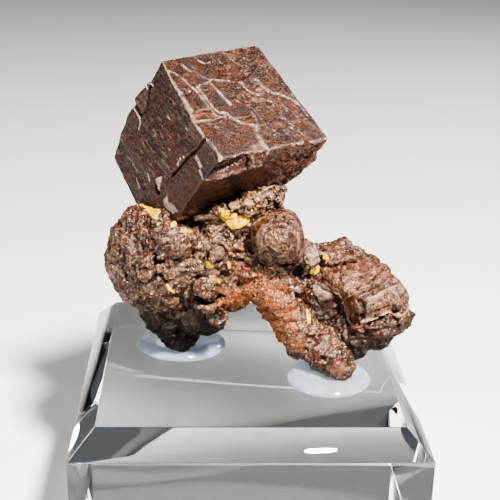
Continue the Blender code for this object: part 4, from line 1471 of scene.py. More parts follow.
# Low ridges and grooves on the squat crystal's top
SQUAT_RIDGES = (
    vein(((314.4, 281), (320, 285.4), (330, 290.6), (338.6, 293.6), (343.6, 299)), 0.17, 1, WORN,
         0.85),
    vein(((317, 277), (324, 269), (332, 263.4), (343, 259.6)), 0.11, 1.1, WORN, 0.5),
    vein(((343, 285), (339.6, 276), (341, 268), (344.6, 262)), -0.19, 1, DARK, 0.6),
    vein(((338, 290), (338.6, 280), (343, 274)), -0.11, 0.9, DARK, 0.4),
    vein(((345.6, 262.4), (353, 264.4), (361.4, 264)), 0.12, 1.2, WORN, 0.6),
    vein(((343, 250.6), (349, 253.6), (345, 258)), 0.14, 1.2, WORN, 0.6),
    vein(((350, 262), (355, 256), (362, 254)), 0.14, 1.2, WORN, 0.6),
    vein(((368, 290), (380, 284), (390, 275), (396, 271)), -0.17, 1.3, DARK, 0.55),
    vein(((362, 282), (374, 277.6), (383, 269)), -0.11, 1.2, DARK, 0.45),
    vein(((366, 286), (378.6, 280.6), (388, 272)), 0.14, 1.3, WORN, 0.45),
    vein(((377, 262.6), (381, 266), (378, 270.4)), 0.17, 1.3, WORN, 0.5),
)
# The raised plate at its lower right, with its slots
RAISED_PLATE = (
    patch(((366.6, 300), (375, 297), (386, 290.6), (396, 287), (402, 291), (403, 300), (398.6, 309),
           (388, 312), (374, 315), (370, 308)), 0.35, WORN, 0.2, 0.7),
    # A pale line along the plate's upper step: a painted highlight
    vein(((367, 299), (375, 296.6), (386, 290), (396, 286.4), (402, 290.6)), 0.2, 1, PALE, 0.9),
    vein(((364, 297), (373, 294.4), (384, 287.8), (394, 283.4)), -0.25, 1.3, DARK, 0.5),
    vein(((366, 300.6), (370, 308), (373, 316)), 0.17, 1, WORN, 0.6),
    vein(((402.6, 291), (403.4, 300), (399.4, 309)), 0.17, 1.1, WORN, 0.7),
    patch(((391, 300.4), (398.8, 298), (400, 304.4), (397, 310), (391.4, 308)), 0.3, WORN, 0.5, 0.9),
    spot((371.6, 305.5), (2.6, 0.9, -10), -0.25, DARK, 0.7),
    spot((379.8, 301.4), (2.8, 0.9, -20), -0.25, DARK, 0.7),
    spot((386, 295.3), (2.6, 0.9, -30), -0.25, DARK, 0.7),
    spot((376, 310.4), (3.4, 1, -10), -0.35, DARK, 0.7),
    spot((383, 306.6), (2.4, 1, -15), -0.3, DARK, 0.6),
)
# The gap left of the plate, darkened as painted shade
PLATE_GAP = (
    patch(((357, 300), (362, 298), (365.6, 303), (366.8, 313), (364, 320), (359.6, 318), (361, 309)), -0.9,
          DARK, 0.9, 1.2),
    spot((360.4, 309), (1.8, 6.4), 0.3, WORN, 0.4),
)
SQUAT_RIM = (
    vein(((344.8, 300), (348, 296.4), (354, 295), (359, 297.6)), 0.35, 1.3, WORN, 0.7),
    vein(((345.4, 301), (347.6, 311), (350, 320), (354, 326.4), (360, 326)), 0.5, 1.4, WORN, 0.75),
    vein(((343, 301), (345.4, 313), (348, 324)), -0.28, 1.5, DARK, 0.8),
    vein(((352, 303), (354.6, 311), (352.4, 317)), 0.25, 1.2, WORN, 0.5),
    vein(((362, 321.4), (369, 319), (374.7, 317.8), (379.8, 312.7), (385.9, 309.6), (392, 313.7),
          (398.2, 316.7)), 0.4, 1.4, PALE, 0.6),
    vein(((398.2, 316.7), (402.2, 316.7), (407.3, 310.6), (408.4, 302.5)), 0.35, 1.3, PALE, 0.6),
    # A dark line under the lip: painted shadow
    vein(((376, 321.6), (384, 316), (392, 319.6), (398, 321)), 0, 1, DARK, 0.5),
    vein(((393, 306), (401, 313)), -0.15, 1.4, DARK, 0.7),
)
# Ledges and grooves below the rim
SQUAT_FOOT = (
    vein(((383, 315), (387, 313.6), (390, 317.4), (388, 321)), 0.17, 0.9, WORN, 0.6),
    vein(((366, 325.4), (372, 328), (377, 327)), 0.5, 1.5, WORN, 0.9),
    vein(((352, 329), (357.6, 327.4), (362, 331.6)), 0.4, 1.8, WORN, 0.8),
    vein(((384, 325), (392, 326), (400, 321.6)), 0.4, 1.5, WORN, 0.6),
    vein(((350, 338), (360, 335.6), (372, 338), (386, 334), (398, 330)), 0.17, 1.3, WORN, 0.35),
    vein(((352, 343.4), (364, 341), (378, 343), (390, 338)), 0.14, 1.3, WORN, 0.25),
    vein(((355, 332.6), (370, 332.4), (386, 328.6), (400, 324)), -0.19, 1.4, DARK, 0.8),
    vein(((350, 349), (366, 347.6), (380, 346)), -0.17, 1.4, DARK, 0.8),
)
# The recess between the leg and the crystal, darkened with painted shade, with its small nodules
RECESS = (
    spot((330, 318), (18, 25, -30), 0, DARK, 0.8),
    spot((319.6, 316.7), (3.4, 4), 0.4, WORN, 0.55),
    spot((323.7, 324.9), (3.6, 2, 18), 0.35, WORN, 0.5),
    spot((317, 308), (3, 3), 0.3, WORN, 0.3),
    spot((345, 242), (3.2, 2.4), 0.2, WORN, 0.7),
)
RIGHT_WASHES = (
    spot((338, 316), (13, 24, -24), 0, RUST, 0.9),
    spot((372, 336), (26, 12), 0, RUST, 0.8),
    spot((352, 280), (18, 12, -30), 0, RUST, 0.35),
    spot((338, 250), (12, 8, -30), 0, RUST, 0.4),
)
RIGHT_MARKS_SEEN = (RIGHT_FLAKES + GREY_FACET + SQUAT_RIDGES + RAISED_PLATE + PLATE_GAP + SQUAT_RIM
                    + SQUAT_FOOT + RECESS + RIGHT_WASHES)
# The ring groove and the crest round it
KNOB_RINGS = (
    vein(((266.4, 229.9), (271.5, 227.1), (282.7, 226.6), (289.2, 229.9), (292, 235.5), (291.1, 243.9),
          (285.5, 252.3), (279, 255.1), (269.6, 250.4), (264, 243.9), (262.6, 236.4), (266.4, 229.9)), -0.34,
         1.1, DARK, 0.8),
    vein(((264, 228), (270, 224.4), (283.6, 223.6), (291.4, 227.4), (295, 235), (294, 246)), 0.14, 1.3,
         ORANGE, 0.3),
)
# Short lines and bosses on its face
KNOB_FACE = (
    vein(((279, 235), (285, 235), (291, 235.8)), -0.2, 0.6, DARK, 0.7),
    vein(((284, 237.8), (291, 238)), 0.15, 0.8, WORN, 0.6),
    spot((282.2, 232.3), (2.6, 1.6, -15), 0.2, ORANGE, 0.6),
)
# Worn and rusty places on its sides
KNOB_SIDES = (
    spot((270, 217), (4, 3, -20), 0.25, RUST, 0.6),
    spot((288, 218.6), (3.4, 2.6, 15), 0.25, RUST, 0.6),
    spot((300, 236), (2.4, 5), 0.2, WORN, 0.4),
    spot((260.4, 232), (2.8, 9, 24), 0.1, WORN, 0.85),
    spot((255.6, 240), (2.4, 3), 0.1, WORN, 0.7),
    spot((279.4, 217.6), (2.4, 3.4), 0.15, WORN, 0.6),
    spot((296, 223.4), (3, 3.6, -30), 0.1, WORN, 0.55),
)
# Finer lines, and the groove at its lower left
KNOB_LINES = (
    vein(((266, 240), (269.4, 246), (275, 250.4)), 0.14, 0.9, WORN, 0.5),
    vein(((268.6, 234), (272, 231), (276, 230.4)), 0.14, 0.9, WORN, 0.5),
    vein(((274, 243.4), (280, 242), (286, 245)), -0.14, 0.8, DARK, 0.5),
    spot((260.4, 250.6), (4, 3, 25), 0.25, WORN, 0.35),
    vein(((254.6, 246), (258.6, 254), (266, 260)), -0.25, 1.1, DARK, 0.6),
)
KNOB_MARKS_SEEN = KNOB_RINGS + KNOB_FACE + KNOB_SIDES + KNOB_LINES


@dataclass(frozen=True)
class Hollow:
    """A hollow pressed into the skin: where, how wide, how deep, and which way."""

    middle: Triple
    width: float
    depth: float
    way: Triple

    def press(self, points: Array) -> Array:
        """How far each point is moved."""
        near = hill(np.linalg.norm(points - np.array(self.middle), axis=1), self.width * 0.7)
        return (self.depth * near)[:, None] * one_long(self.way)


HOLLOWS = (
    Hollow((12.4, -7.8, 33.2), 4.4, 2.4, (0.45, 0.85, 0.1)),
    Hollow((7.2, -6.4, 39.2), 2, 1.6, (0.1, 0.95, -0.2)),
    Hollow((-7.9, -7.4, 47.2), 1.7, 1.8, (0.1, 0.95, -0.2)),
    Hollow((-5, -6.4, 47.6), 1.6, 1.5, (0.1, 0.95, -0.2)),
    Hollow((2.2, -4.6, 50.2), 1.2, 1.2, (-0.1, 0.95, -0.2)),
)


BRIDGE_SKIN = (
    Patch(((232, 300), (238, 288), (262, 282), (284, 288), (298, 304), (304, 330),
           (300, 350), (286, 350), (272, 328), (262, 311), (246, 303)), 4),
    Spot(206.5, 288.5, 12.5, 10.5, 12),
    Spot(216.4, 252.9, 8, 8),
    Spot(341, 370, 4.4, 3.8),
)


@dataclass(frozen=True)
class Growth:
    """How the skin of one part of the matrix grew."""

    lumps: float = 0.6
    wart_size: float = 1.9
    warts: float = 0.27
    drawn: float = 0.65
    bead_size: float = 0.72
    beads: float = 0.17
    hackles: float = 0.16
    crumbs: float = 0.06
    pits: float = 0.3
    wear_and_painted_light: float = 0.15
    rust: float = 0.3
    dark: float = 0.0
    # How much painted shade darkens the lower part
    low: float = 0.0
    worn: float = 0.3
    pale: float = 0.2
    grain: float = 0.45


LEFT_GROWTH = Growth(warts=0.2, bead_size=0.55, beads=0.2, hackles=0.2, crumbs=0.12, rust=0.4, dark=0.12,
                     low=0.95, worn=0.5, pale=0.35, grain=0.8)
MIDDLE_GROWTH = Growth(warts=0.22, crumbs=0.1, rust=0.4, low=0.3, worn=0.75, pale=0.5, grain=0.8)
LEG_GROWTH = Growth(bead_size=0.55, crumbs=0.1, rust=0.5, worn=0.35, pale=0.35, grain=0.8)
NECK_GROWTH = Growth(lumps=0.1, warts=0.05, beads=0.05, hackles=0.05, crumbs=0.08, pale=0.65, worn=1.0,
                     rust=0.12, grain=1.0)
RIGHT_GROWTH = Growth(lumps=0.5, warts=0.16, beads=0.16, hackles=0.2, crumbs=0.08, pits=0.2, rust=1.0,
                      low=0.7, pale=0.15, grain=0.25)
SQUAT_GROWTH = Growth(lumps=0.42, wart_size=1.6, warts=0.03, bead_size=0.4, beads=0.05, hackles=0.07,
                      crumbs=0.05, pits=0.0, wear_and_painted_light=0.08, rust=0.95, worn=0.1, pale=0.3, grain=0.4)


def grow_over(skin: Skin, grow: Growth, marks: tuple, calm: Array) -> Dress:
    """Lets the limonite's crust grow over a skin, and puts its marks on.

    Args:
        skin: The skin.
        grow: How the crust grew.
        marks: The marks that the camera sees.
        calm: How smooth each point stays, from 0 to 1.

    Returns:
        The skin's tints, which are not stored yet.
    """
    lively = 1.0 - 0.95 * calm
    skin.push(rough_noise(skin.points, 3.2, 3, 81) * grow.lumps * (1.0 - 0.75 * calm))
    bent = skin.points + 0.5 * drift(skin.points, 1.2, 103)
    warts, tone = beads(bent * np.array((1.0, 1.0, grow.drawn)), grow.wart_size, 82)
    skin.push((warts - 0.35) * grow.wart_size * grow.warts * lively)
    for hollow in HOLLOWS:
        skin.points = skin.points + hollow.press(skin.points)
    skin.look()
    dress = Dress(skin)
    small, _ = beads(skin.points, grow.bead_size, 85)
    hackles, crumbs = crests(skin.points, 0.95, 89), crests(skin.points, 0.45, 86)
    flakes = dress.put(marks, skin.pixels, skin.facing)
    cover = np.maximum(dress.tints[YELLOW], 0.7 * calm)
    pits = ramp(smooth_noise(bent, 0.95, 106), 0.3, 0.7)
    fine = small * grow.bead_size * grow.beads * 2.0 + crumbs * grow.crumbs + hackles * grow.hackles
    fine -= pits * grow.pits
    skin.push(flakes + fine * (1.0 - 0.92 * cover) + 0.13 * rough_noise(skin.points, 0.7, 4, 111) * calm)
    dress.add(DARK, pits * grow.pits * 1.6 * (1.0 - cover))
    # Painted shade in the small hollows between the crumbs
    dress.add(DARK, ramp(-crumbs, 0.1, 1.0) * grow.crumbs * 5.0 * (1.0 - cover))
    dress.wear_and_painted_light(4, 30, grow.wear_and_painted_light)
    mottle = ramp(rough_noise(skin.points, 1.5, 4, 87), -0.05, 0.5)
    dress.add(RUST, mottle * grow.rust)
    dress.add(WORN, ramp(tone, 0.7, 0.85) * ramp(warts, 0.25, 0.5) * 0.6 * (1.0 - calm))
    dress.add(WORN, ramp(smooth_noise(skin.points, 1.7, 107), -0.3, 0.5) * grow.worn * (1.0 - calm))
    dress.add(PALE, ramp(smooth_noise(skin.points, 0.5, 90), 0.4, 0.8) * grow.pale * (1.0 - calm))
    dress.add(DARK, grow.dark * (0.7 + 0.5 * smooth_noise(skin.points, 3.0, 88)))
    # Painted shade on the lower part
    dress.add(DARK, grow.low * ramp(-skin.points[:, 2], -37.0, -30.0))
    dress.add(WORN, ramp(crumbs, 0.0, 0.7) * 0.5 * calm)
    dress.add(GRAIN_AND_GLINT, np.full(skin.count, grow.grain))
    return dress


@dataclass
class MatrixPart:
    """One part of the knobbly matrix: lumps run together into one skin, then grown over and marked."""

    name: str
    lumps: tuple
    blocks: tuple
    marks: tuple
    growth: Growth
    voxel: float
    smooth: tuple = ()
    ease: int = 3

    def calm(self, skin: Skin) -> Array:
        """How far each point belongs to an area that grew smoother.

        Args:
            skin: The part's skin.

        Returns:
            Shares from 0 to 1.
        """
        share = np.zeros(skin.count)
        for area in self.smooth:
            share = np.maximum(share, np.minimum(area.share(skin.pixels) * skin.facing * 1.6, 1.0))
        return share

    def build(self) -> Piece:
        """Builds the part with its relief and tints.

        Returns:
            The finished piece.
        """
        parts = [lump.build() for lump in self.lumps + self.blocks]
        skin = one_skin(parts, self.name, self.voxel, self.ease)
        grow_over(skin, self.growth, self.marks, self.calm(skin)).finish()
        return skin.obj


MATRIX = (
    MatrixPart("left_mass", LEFT_LUMPS, (), LEFT_MARKS_SEEN, LEFT_GROWTH, 0.155),
    MatrixPart("middle_mass", MIDDLE_LUMPS, (), MIDDLE_MARKS_SEEN, MIDDLE_GROWTH, 0.135, BRIDGE_SKIN),
    MatrixPart("leg", LEG_LUMPS, (), MIDDLE_MARKS_SEEN, LEG_GROWTH, 0.12, BRIDGE_SKIN),
    MatrixPart("neck", NECK_LUMPS + NECK_RIM, NECK_PLATES + NECK_CROWD, NECK_MARKS_SEEN, NECK_GROWTH, 0.094,
               ease=1),
    MatrixPart("right_mass", RIGHT_LUMPS, (SPUR, BACK_SLAB), RIGHT_MARKS_SEEN, RIGHT_GROWTH, 0.12),
)


@dataclass
class FlatCrystal:
    """The squat crystal on the right: a broad uneven top over sides that are eaten away below."""

    block: Block = SQUAT
    first_cuts: int = 21
    second_cuts: int = 4
    edge_radius: float = 0.75
    dome: float = 1.15
    bow: float = 2.4
    waist: float = 0.83
    growth: Growth = SQUAT_GROWTH

    def build(self) -> Piece:
        """Builds the crystal with its relief and tints.

        Returns:
            The finished piece.
        """
        obj = self.block.build()
        obj.name = "flat_crystal"
        with edit_mode():
            bpy.ops.mesh.subdivide(number_cuts=self.first_cuts)
            bpy.ops.mesh.subdivide(number_cuts=self.second_cuts)
        settle(obj)
        bpy.ops.object.shade_smooth()
        skin = Skin(obj)
        turn = np.array(self.block.turn())
        middle, half = np.array(self.block.middle), np.array(self.block.edges) / 2
        flat = (skin.points - middle) @ turn
        unit = flat / half
        radius = self.edge_radius * (1.0 + 0.6 * smooth_noise(flat, 2.5, 101))[:, None]
        shaped = round_edges(flat, half, radius)
        level = np.clip((1.0 - unit[:, 0] ** 2) * (1.0 - unit[:, 1] ** 2), 0.0, 1.0)
        shaped[:, 2] += self.dome * level ** 0.35 * ramp(unit[:, 2], 0.0, 1.0)
        low = ramp(-unit[:, 2], -0.1, 1.0)[:, None]
        shaped[:, :2] *= 1.0 - (1.0 - self.waist) * low + 0.05 * smooth_noise(flat, 2.2, 102)[:, None] * low
        across = np.sqrt(np.clip(1.0 - unit[:, 0] ** 2, 0.0, 1.0))
        shaped[:, 1] += self.bow * across * ramp(unit[:, 1], 0.0, 1.0) * ramp(unit[:, 2], -0.6, 0.6)
        skin.points = shaped @ turn.T + middle
        skin.look()
        dress = grow_over(skin, self.growth, RIGHT_MARKS_SEEN, np.zeros(skin.count))
        # Painted shade on the lower sides, under the overhang
        dress.add(DARK, low[:, 0] * 0.75)
        up = ramp(unit[:, 2], 0.6, 1.0)
        dress.add(ORANGE, ramp(rough_noise(skin.points, 0.8, 3, 109), 0.0, 0.5) * 0.45 * up)
        dress.add(WORN, ramp(rough_noise(skin.points, 0.9, 4, 110), -0.1, 0.3) * 0.75 * up)
        dress.finish()
        return obj


@dataclass
class Knob:
    """The rounded crystal in front of the neck, with its ring groove."""

    middle: Triple = (3.85, -5.7, 45.3)
    half: Triple = (3.75, 3.8, 3.5)
    lean: Triple = (20.0, -6.0, 6.0)
    squareness: float = 3.0
    detail: int = 7
    plate: Spot = Spot(277.4, 240.4, 13.6, 13.0)

    def build(self) -> Piece:
        """Builds the knob: a ball pushed out towards a cube, then marked.

        Returns:
            The finished piece.
        """
        choose_none()
        bpy.ops.mesh.primitive_ico_sphere_add(subdivisions=self.detail, radius=MM)
        obj = bpy.context.object
        obj.name = "knob_crystal"
        bpy.ops.object.shade_smooth()
        skin = Skin(obj)
        reach = np.sum(np.abs(skin.points) ** self.squareness, axis=1) ** (1.0 / self.squareness)
        turn = np.array(leaning(self.lean).to_matrix())
        skin.points = (skin.points / reach[:, None] * np.array(self.half)) @ turn.T + np.array(self.middle)
        skin.look()
        skin.push(rough_noise(skin.points, 2.4, 2, 91) * 0.22)
        dress = Dress(skin)
        wavy = drift(skin.points, 1.2, 92, 2) * 1.1
        broken_up = np.clip(0.7 + 0.8 * smooth_noise(skin.points, 0.9, 108), 0.1, 1.2)
        flakes = dress.put(KNOB_MARKS_SEEN, skin.pixels + wavy, skin.facing * broken_up)
        warts, _ = beads(skin.points, 0.8, 94)
        scales, maze = crests(skin.points, 0.7, 95, 2.0), crests(skin.points, 0.62, 198, 2.6)
        plate = self.plate.share(skin.pixels) * skin.facing
        drawn = skin.points * np.array((1.0, 1.0, 0.3))
        stripes = smooth_noise(drawn, 0.5, 99) * (1.0 - plate)
        skin.push(flakes + warts * 0.08 + scales * 0.05 + rough_noise(skin.points, 0.5, 2, 96) * 0.04)
        skin.push(0.1 * maze * plate + 0.06 * stripes)
        dress.add(WORN, np.clip(maze, 0.0, 1.0) * plate * 0.8)
        dress.add(ORANGE, np.clip(-maze, 0.0, 1.0) * plate * 0.5)
        dress.add(WORN, ramp(stripes, -0.2, 0.5) * 0.8)
        dress.wear_and_painted_light(8, 60, 0.12)
        dress.add(RUST, ramp(rough_noise(skin.points, 1.4, 3, 97), -0.1, 0.6) * 0.55)
        # Painted shade on the faces that look down
        dress.add(DARK, ramp(-skin.normals[:, 2], 0.1, 0.8) * 0.5)
        dress.add(GRAIN_AND_GLINT, np.full(skin.count, 0.3))
        dress.finish()
        return obj


# The stand

@dataclass
class StandBlock:
    """The clear block, square, with its top edges planed off."""

    side: float = 50.8
    height: float = 23.0
    plane: float = 3.55
    rounding: float = 0.1

    def build(self) -> Piece:
        """Builds the block.

        Returns:
            The finished piece.
        """
        side, height = self.side * MM, self.height * MM
        obj = add_box("clear_block", (0.0, 0.0, self.height / 2 * MM), (side, side, height))
        settle(obj)
        pick_nothing("EDGE")
        top = {vert.index for vert in obj.data.vertices if vert.co.z > self.height / 2 * MM}
        for edge in obj.data.edges:
            edge.select = set(edge.vertices) <= top
        with edit_mode():
            bpy.ops.mesh.bevel(offset=self.plane * MM, segments=1, affect="EDGES")
        eased = obj.modifiers.new("eased_edges", "BEVEL")
        eased.width = self.rounding * MM
        eased.segments = 2
        eased.harden_normals = True
        apply_modifiers(obj)
        choose(obj)
        bpy.ops.object.shade_smooth_by_angle(angle=math.radians(30.0))
        return obj


@dataclass
class GelPad:
    """A pressed drop of clear gel under one foot, fuller at one side and not quite round."""

    name: str
    middle: tuple[float, float]
    radius: float
    height: float
    squash: float = 1.0
    block_top: float = 23.0
    foot: float = 0.7
    fullness: float = 0.5
    seed: int = 1

    def build(self) -> Piece:
        """Builds the pad: a ball pressed flat, with its rim let out.

        Returns:
            The finished piece.
        """
        choose_none()
        bpy.ops.mesh.primitive_uv_sphere_add(segments=96, ring_count=48, radius=MM)
        obj = bpy.context.object
        obj.name = self.name
        bpy.ops.object.shade_smooth()
        skin = Skin(obj)
        unit = skin.points
        level = np.hypot(unit[:, 0], unit[:, 1])
        outward = unit * np.array((1.0, 1.0, 0.0)) / np.maximum(level, 1e-6)[:, None]
        reach = level ** self.fullness * self.radius * (1.0 + 0.03 * smooth_noise(outward, 0.8, self.seed))
        upper = unit[:, 2] > 0.0
        dimple = 1.0 - 0.25 * hill(level ** self.fullness, 0.45)
        rise = np.where(upper, unit[:, 2] * self.height * dimple, np.maximum(unit[:, 2] * 0.9, -self.foot))
        rise += upper * smooth_noise(skin.points + outward, 0.9, self.seed + 3) * 0.05 * unit[:, 2]
        flat = outward[:, :2] * reach[:, None] * np.array((1.0, self.squash)) + np.array(self.middle)
        skin.points = np.column_stack([flat, rise + self.block_top + self.foot + 0.04])
        skin.look()
        return obj


# Finishes

def linear(*values: int) -> tuple[float, float, float, float]:
    """A colour picked on a screen, as the light that a shader reads."""
    parts = [value / 255 for value in values]
    return (*(part / 12.92 if part <= 0.04045 else ((part + 0.055) / 1.055) ** 2.4 for part in parts), 1.0)


class Board:
    """A material's node board, with short ways to place and join nodes."""

    def __init__(self, name: str) -> None:
        """Makes the material with its shader.

        Args:
            name: The material's name.
        """
        self.material = bpy.data.materials.new(name)
        self.material.use_nodes = True
        self.nodes = self.material.node_tree.nodes
        self.links = self.material.node_tree.links
        self.shader = self.nodes["Principled BSDF"]
        self.place = self.add("ShaderNodeTexCoord").outputs["Object"]

    def add(self, kind: str, inputs: dict | None = None, **settings: object) -> bpy.types.Node:
        """Adds a node, sets it and feeds it.

        Args:
            kind: The node's type.
            inputs: What goes into it, by the input's name or number.
            settings: Its properties by name.

        Returns:
            The node.
        """
        node = self.nodes.new(kind)
        for name, value in settings.items():
            setattr(node, name, value)
        self.feed(node, inputs or {})
        return node

    def feed(self, node: bpy.types.Node, inputs: dict) -> None:
        """Joins outputs to a node's inputs, or sets the inputs to plain values.

        Args:
            node: The node.
            inputs: An output or a plain value for each input, by its name or number.
        """
        for socket, value in inputs.items():
            if isinstance(value, Socket):
                self.links.new(value, node.inputs[socket])
            else:
                node.inputs[socket].default_value = value

    def share(self, name: str) -> Socket:
        """A value stored on the mesh."""
        return self.add("ShaderNodeAttribute", attribute_name=name).outputs["Fac"]

    def noise(self, size: float, detail: float = 3.0, roughness: float = 0.6) -> Socket:
        """Adds noise.

        Args:
            size: Feature size in millimetres.
            detail: How many finer layers it has.
            roughness: How strong they are.

        Returns:
            Values from 0 to 1.
        """
        inputs = {"Vector": self.place, "Scale": 1.0 / (size * MM), "Detail": detail, "Roughness": roughness}
        return self.add("ShaderNodeTexNoise", inputs).outputs["Fac"]

    def cells(self, size: float) -> Socket:
        """Adds grains, each with its own value.

        Args:
            size: Their size in millimetres.

        Returns:
            Their values, three each from 0 to 1.
        """
        inputs = {"Vector": self.place, "Scale": 1.0 / (size * MM)}
        return self.add("ShaderNodeTexVoronoi", inputs).outputs["Color"]

    def between(self, value: Socket, low: float, high: float, start: float = 0.0, end: float = 1.0) -> Socket:
        """Stretches a value from low..high to start..end and holds it there.

        Args:
            value: The value.
            low: Where it starts to count.
            high: Where it counts in full.
            start: What it gives at low.
            end: What it gives at high.

        Returns:
            The new value.
        """
        inputs = {"Value": value, "From Min": low, "From Max": high, "To Min": start, "To Max": end}
        return self.add("ShaderNodeMapRange", inputs, clamp=True).outputs["Result"]

    def sum(self, how: str, first: object, second: object) -> Socket:
        """Works out a sum of two values, held between 0 and 1.

        Args:
            how: The sum, such as MULTIPLY or ADD.
            first: The first value.
            second: The second value.

        Returns:
            The result.
        """
        return self.add("ShaderNodeMath", {0: first, 1: second}, operation=how, use_clamp=True).outputs[0]

    def mix(self, share: object, under: object, over: object) -> Socket:
        """Lays one colour over another.

        Args:
            share: How far the upper colour covers, from 0 to 1.
            under: The lower colour.
            over: The upper colour.

        Returns:
            The mixed colour.
        """
        inputs = {"Factor": share, 6: under, 7: over}
        return self.add("ShaderNodeMix", inputs, data_type="RGBA").outputs[2]

    def bump(self, height: Socket, depth: float, strength: object, under: Socket | None = None) -> Socket:
        """Gives the skin fine relief.

        Args:
            height: The relief, from 0 to 1.
            depth: Its height in millimetres.
            strength: How much of it shows.
            under: A coarser relief that it lies on.

        Returns:
            The turned normal.
        """
        inputs = {"Height": height, "Distance": depth * MM, "Strength": strength}
        if under is not None:
            inputs["Normal"] = under
        return self.add("ShaderNodeBump", inputs).outputs["Normal"]

    def vector(self, how: str, inputs: dict) -> Socket:
        """Works out a sum of vectors, such as ADD."""
        return self.add("ShaderNodeVectorMath", inputs, operation=how).outputs[0]

    def tilt(self, normal: Socket, cells: Socket, reach: object) -> Socket:
        """Leans each cell its own way, so that some of them catch the lamp.

        Args:
            normal: The relief that the grains lie on.
            cells: The grains' own values.
            reach: How far they lean.

        Returns:
            The turned normal.
        """
        centred = self.vector("SUBTRACT", {0: cells, 1: (0.5, 0.5, 0.5)})
        lean = self.vector("SCALE", {0: centred, "Scale": reach})
        return self.vector("NORMALIZE", {0: self.vector("ADD", {0: normal, 1: lean})})


@dataclass(frozen=True)
class Limonite:
    """Limonite: brown iron oxide, mottled with rust, paler where it is worn or a highlight is painted,
    darkened by painted shade in its hollows.
    """

    name: str = "limonite"
    deep: tuple = linear(30, 16, 11)
    body: tuple = linear(60, 31, 19)
    warm: tuple = linear(90, 50, 31)
    rust: tuple = linear(118, 56, 28)
    orange: tuple = linear(156, 84, 30)
    worn: tuple = linear(142, 110, 90)
    pale: tuple = linear(208, 184, 164)
    cream: tuple = linear(206, 176, 138)
    yellow: tuple = linear(214, 182, 58)
    yellow_deep: tuple = linear(166, 120, 34)
    black: tuple = linear(12, 7, 5)
    roughness: tuple[float, float] = (0.22, 0.42)
    sheen_level: float = 0.4
    tilt: float = 0.6

    def make(self) -> bpy.types.Material:
        """Builds the material.

        Returns:
            The material.
        """
        board = Board(self.name)
        pale, rust, dark = board.share("pale"), board.share("rust"), board.share("dark")
        yellow, grain = board.share("yellow"), board.share("grain")
        broad, fine = board.noise(1.6, 4.0), board.noise(0.28, 3.0, 0.7)
        colour = board.mix(board.between(broad, 0.36, 0.62), self.deep, self.body)
        colour = board.mix(board.between(fine, 0.42, 0.68, 0.0, 0.75), colour, self.warm)
        rusty = board.sum("MULTIPLY", rust, board.between(board.noise(0.5, 4.0, 0.7), 0.32, 0.6))
        colour = board.mix(rusty, colour, self.rust)
        colour = board.mix(board.sum("MULTIPLY", board.share("worn"), 0.8), colour, self.worn)
        orange = board.share("orange")
        fire = board.between(board.noise(0.8, 4.0, 0.7), 0.34, 0.58, 0.15, 1.0)
        fiery = board.sum("MULTIPLY", orange, fire)
        colour = board.mix(fiery, colour, self.orange)
        grit = board.between(board.noise(0.18, 2.0, 0.6), 0.46, 0.57, 0.0, 0.85)
        colour = board.mix(grit, colour, self.deep)
        light = board.sum("MULTIPLY", pale, board.between(board.noise(0.22, 2.0, 0.7), 0.35, 0.62, 0.25, 1.0))
        colour = board.mix(light, colour, self.pale)
        # The dark share, dark stains and painted shade alike, goes towards black
        colour = board.mix(board.sum("MULTIPLY", dark, 0.92), colour, self.black)
        # Cream specks, partly pale dust and partly painted glints, fewer where the dark share is high
        crowd = board.between(board.noise(1.1, 3.0), 0.42, 0.6)
        specks = board.sum("MULTIPLY", board.between(board.cells(0.17), 0.74, 0.84), crowd)
        shown = board.sum("MULTIPLY", specks, grain)
        lit = board.sum("MULTIPLY", shown, board.between(dark, 0.1, 0.7, 0.75, 0.0))
        colour = board.mix(lit, colour, self.cream)
        ochre = board.mix(board.between(board.noise(0.7, 3.0), 0.4, 0.62), self.yellow_deep, self.yellow)
        colour = board.mix(board.between(yellow, 0.3, 0.6), colour, ochre)
        rough = board.between(fine, 0.35, 0.65, *self.roughness)
        rough = board.sum("ADD", rough, board.sum("MULTIPLY", orange, 0.22))
        rough = board.sum("ADD", rough, board.between(dark, 0.55, 0.85, 0.0, 0.3))
        coarse = board.bump(board.noise(0.45, 3.0, 0.65), 0.1, 0.9)
        fine_relief = board.bump(fine, 0.085, 0.8, coarse)
        glitter = board.sum("MULTIPLY", board.between(grain, 0.0, 1.0, 0.12, 1.0), self.tilt)
        leaning_grains = board.tilt(fine_relief, board.cells(0.18), glitter)
        board.feed(board.shader, {"Base Color": colour, "Roughness": rough,
                                  "Specular IOR Level": self.sheen_level, "Normal": leaning_grains})
        return board.material


@dataclass(frozen=True)
class Plain:
    """An even finish: a matt floor, a clear plastic or a clear gel."""

    name: str
    colour: tuple
    roughness: float
    bend: float = 1.5
    clearness: float = 0.0
    ripple: float = 0.0

    def make(self) -> bpy.types.Material:
        """Builds the material.

        Returns:
            The material.
        """
        board = Board(self.name)
        board.feed(board.shader, {"Base Color": self.colour, "Roughness": self.roughness, "IOR": self.bend,
                                  "Transmission Weight": self.clearness})
        if self.ripple:
            board.feed(board.shader, {"Normal": board.bump(board.noise(2.5, 1.0), self.ripple, 0.5)})
        return board.material


def dress_up(obj: Piece, material: bpy.types.Material, node: str) -> None:
    """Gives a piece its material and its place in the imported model.

    Args:
        obj: The piece.
        material: Its material.
        node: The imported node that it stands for.
    """
    obj.data.materials.clear()
    obj.data.materials.append(material)
    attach(obj, "root")
    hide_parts(node)


# The studio

@dataclass(frozen=True)
class Lamp:
    """A soft lamp: where it stands, how wide it is, its power and its colour."""

    name: str
    place: Triple
    width: float
    power: float
    colour: Triple = (1.0, 1.0, 1.0)

    def build(self, aim: Vector) -> None:
        """Adds the lamp.

        Args:
            aim: What it is turned towards, in metres.
        """
        data = bpy.data.lights.new(self.name, "AREA")
        data.shape = "DISK"
        data.size = self.width
        data.energy = self.power
        data.color = self.colour
        lamp = bpy.data.objects.new(self.name, data)
        lamp.location = self.place
        lamp.rotation_euler = (aim - Vector(self.place)).to_track_quat("-Z", "Y").to_euler()
        bpy.context.scene.collection.objects.link(lamp)


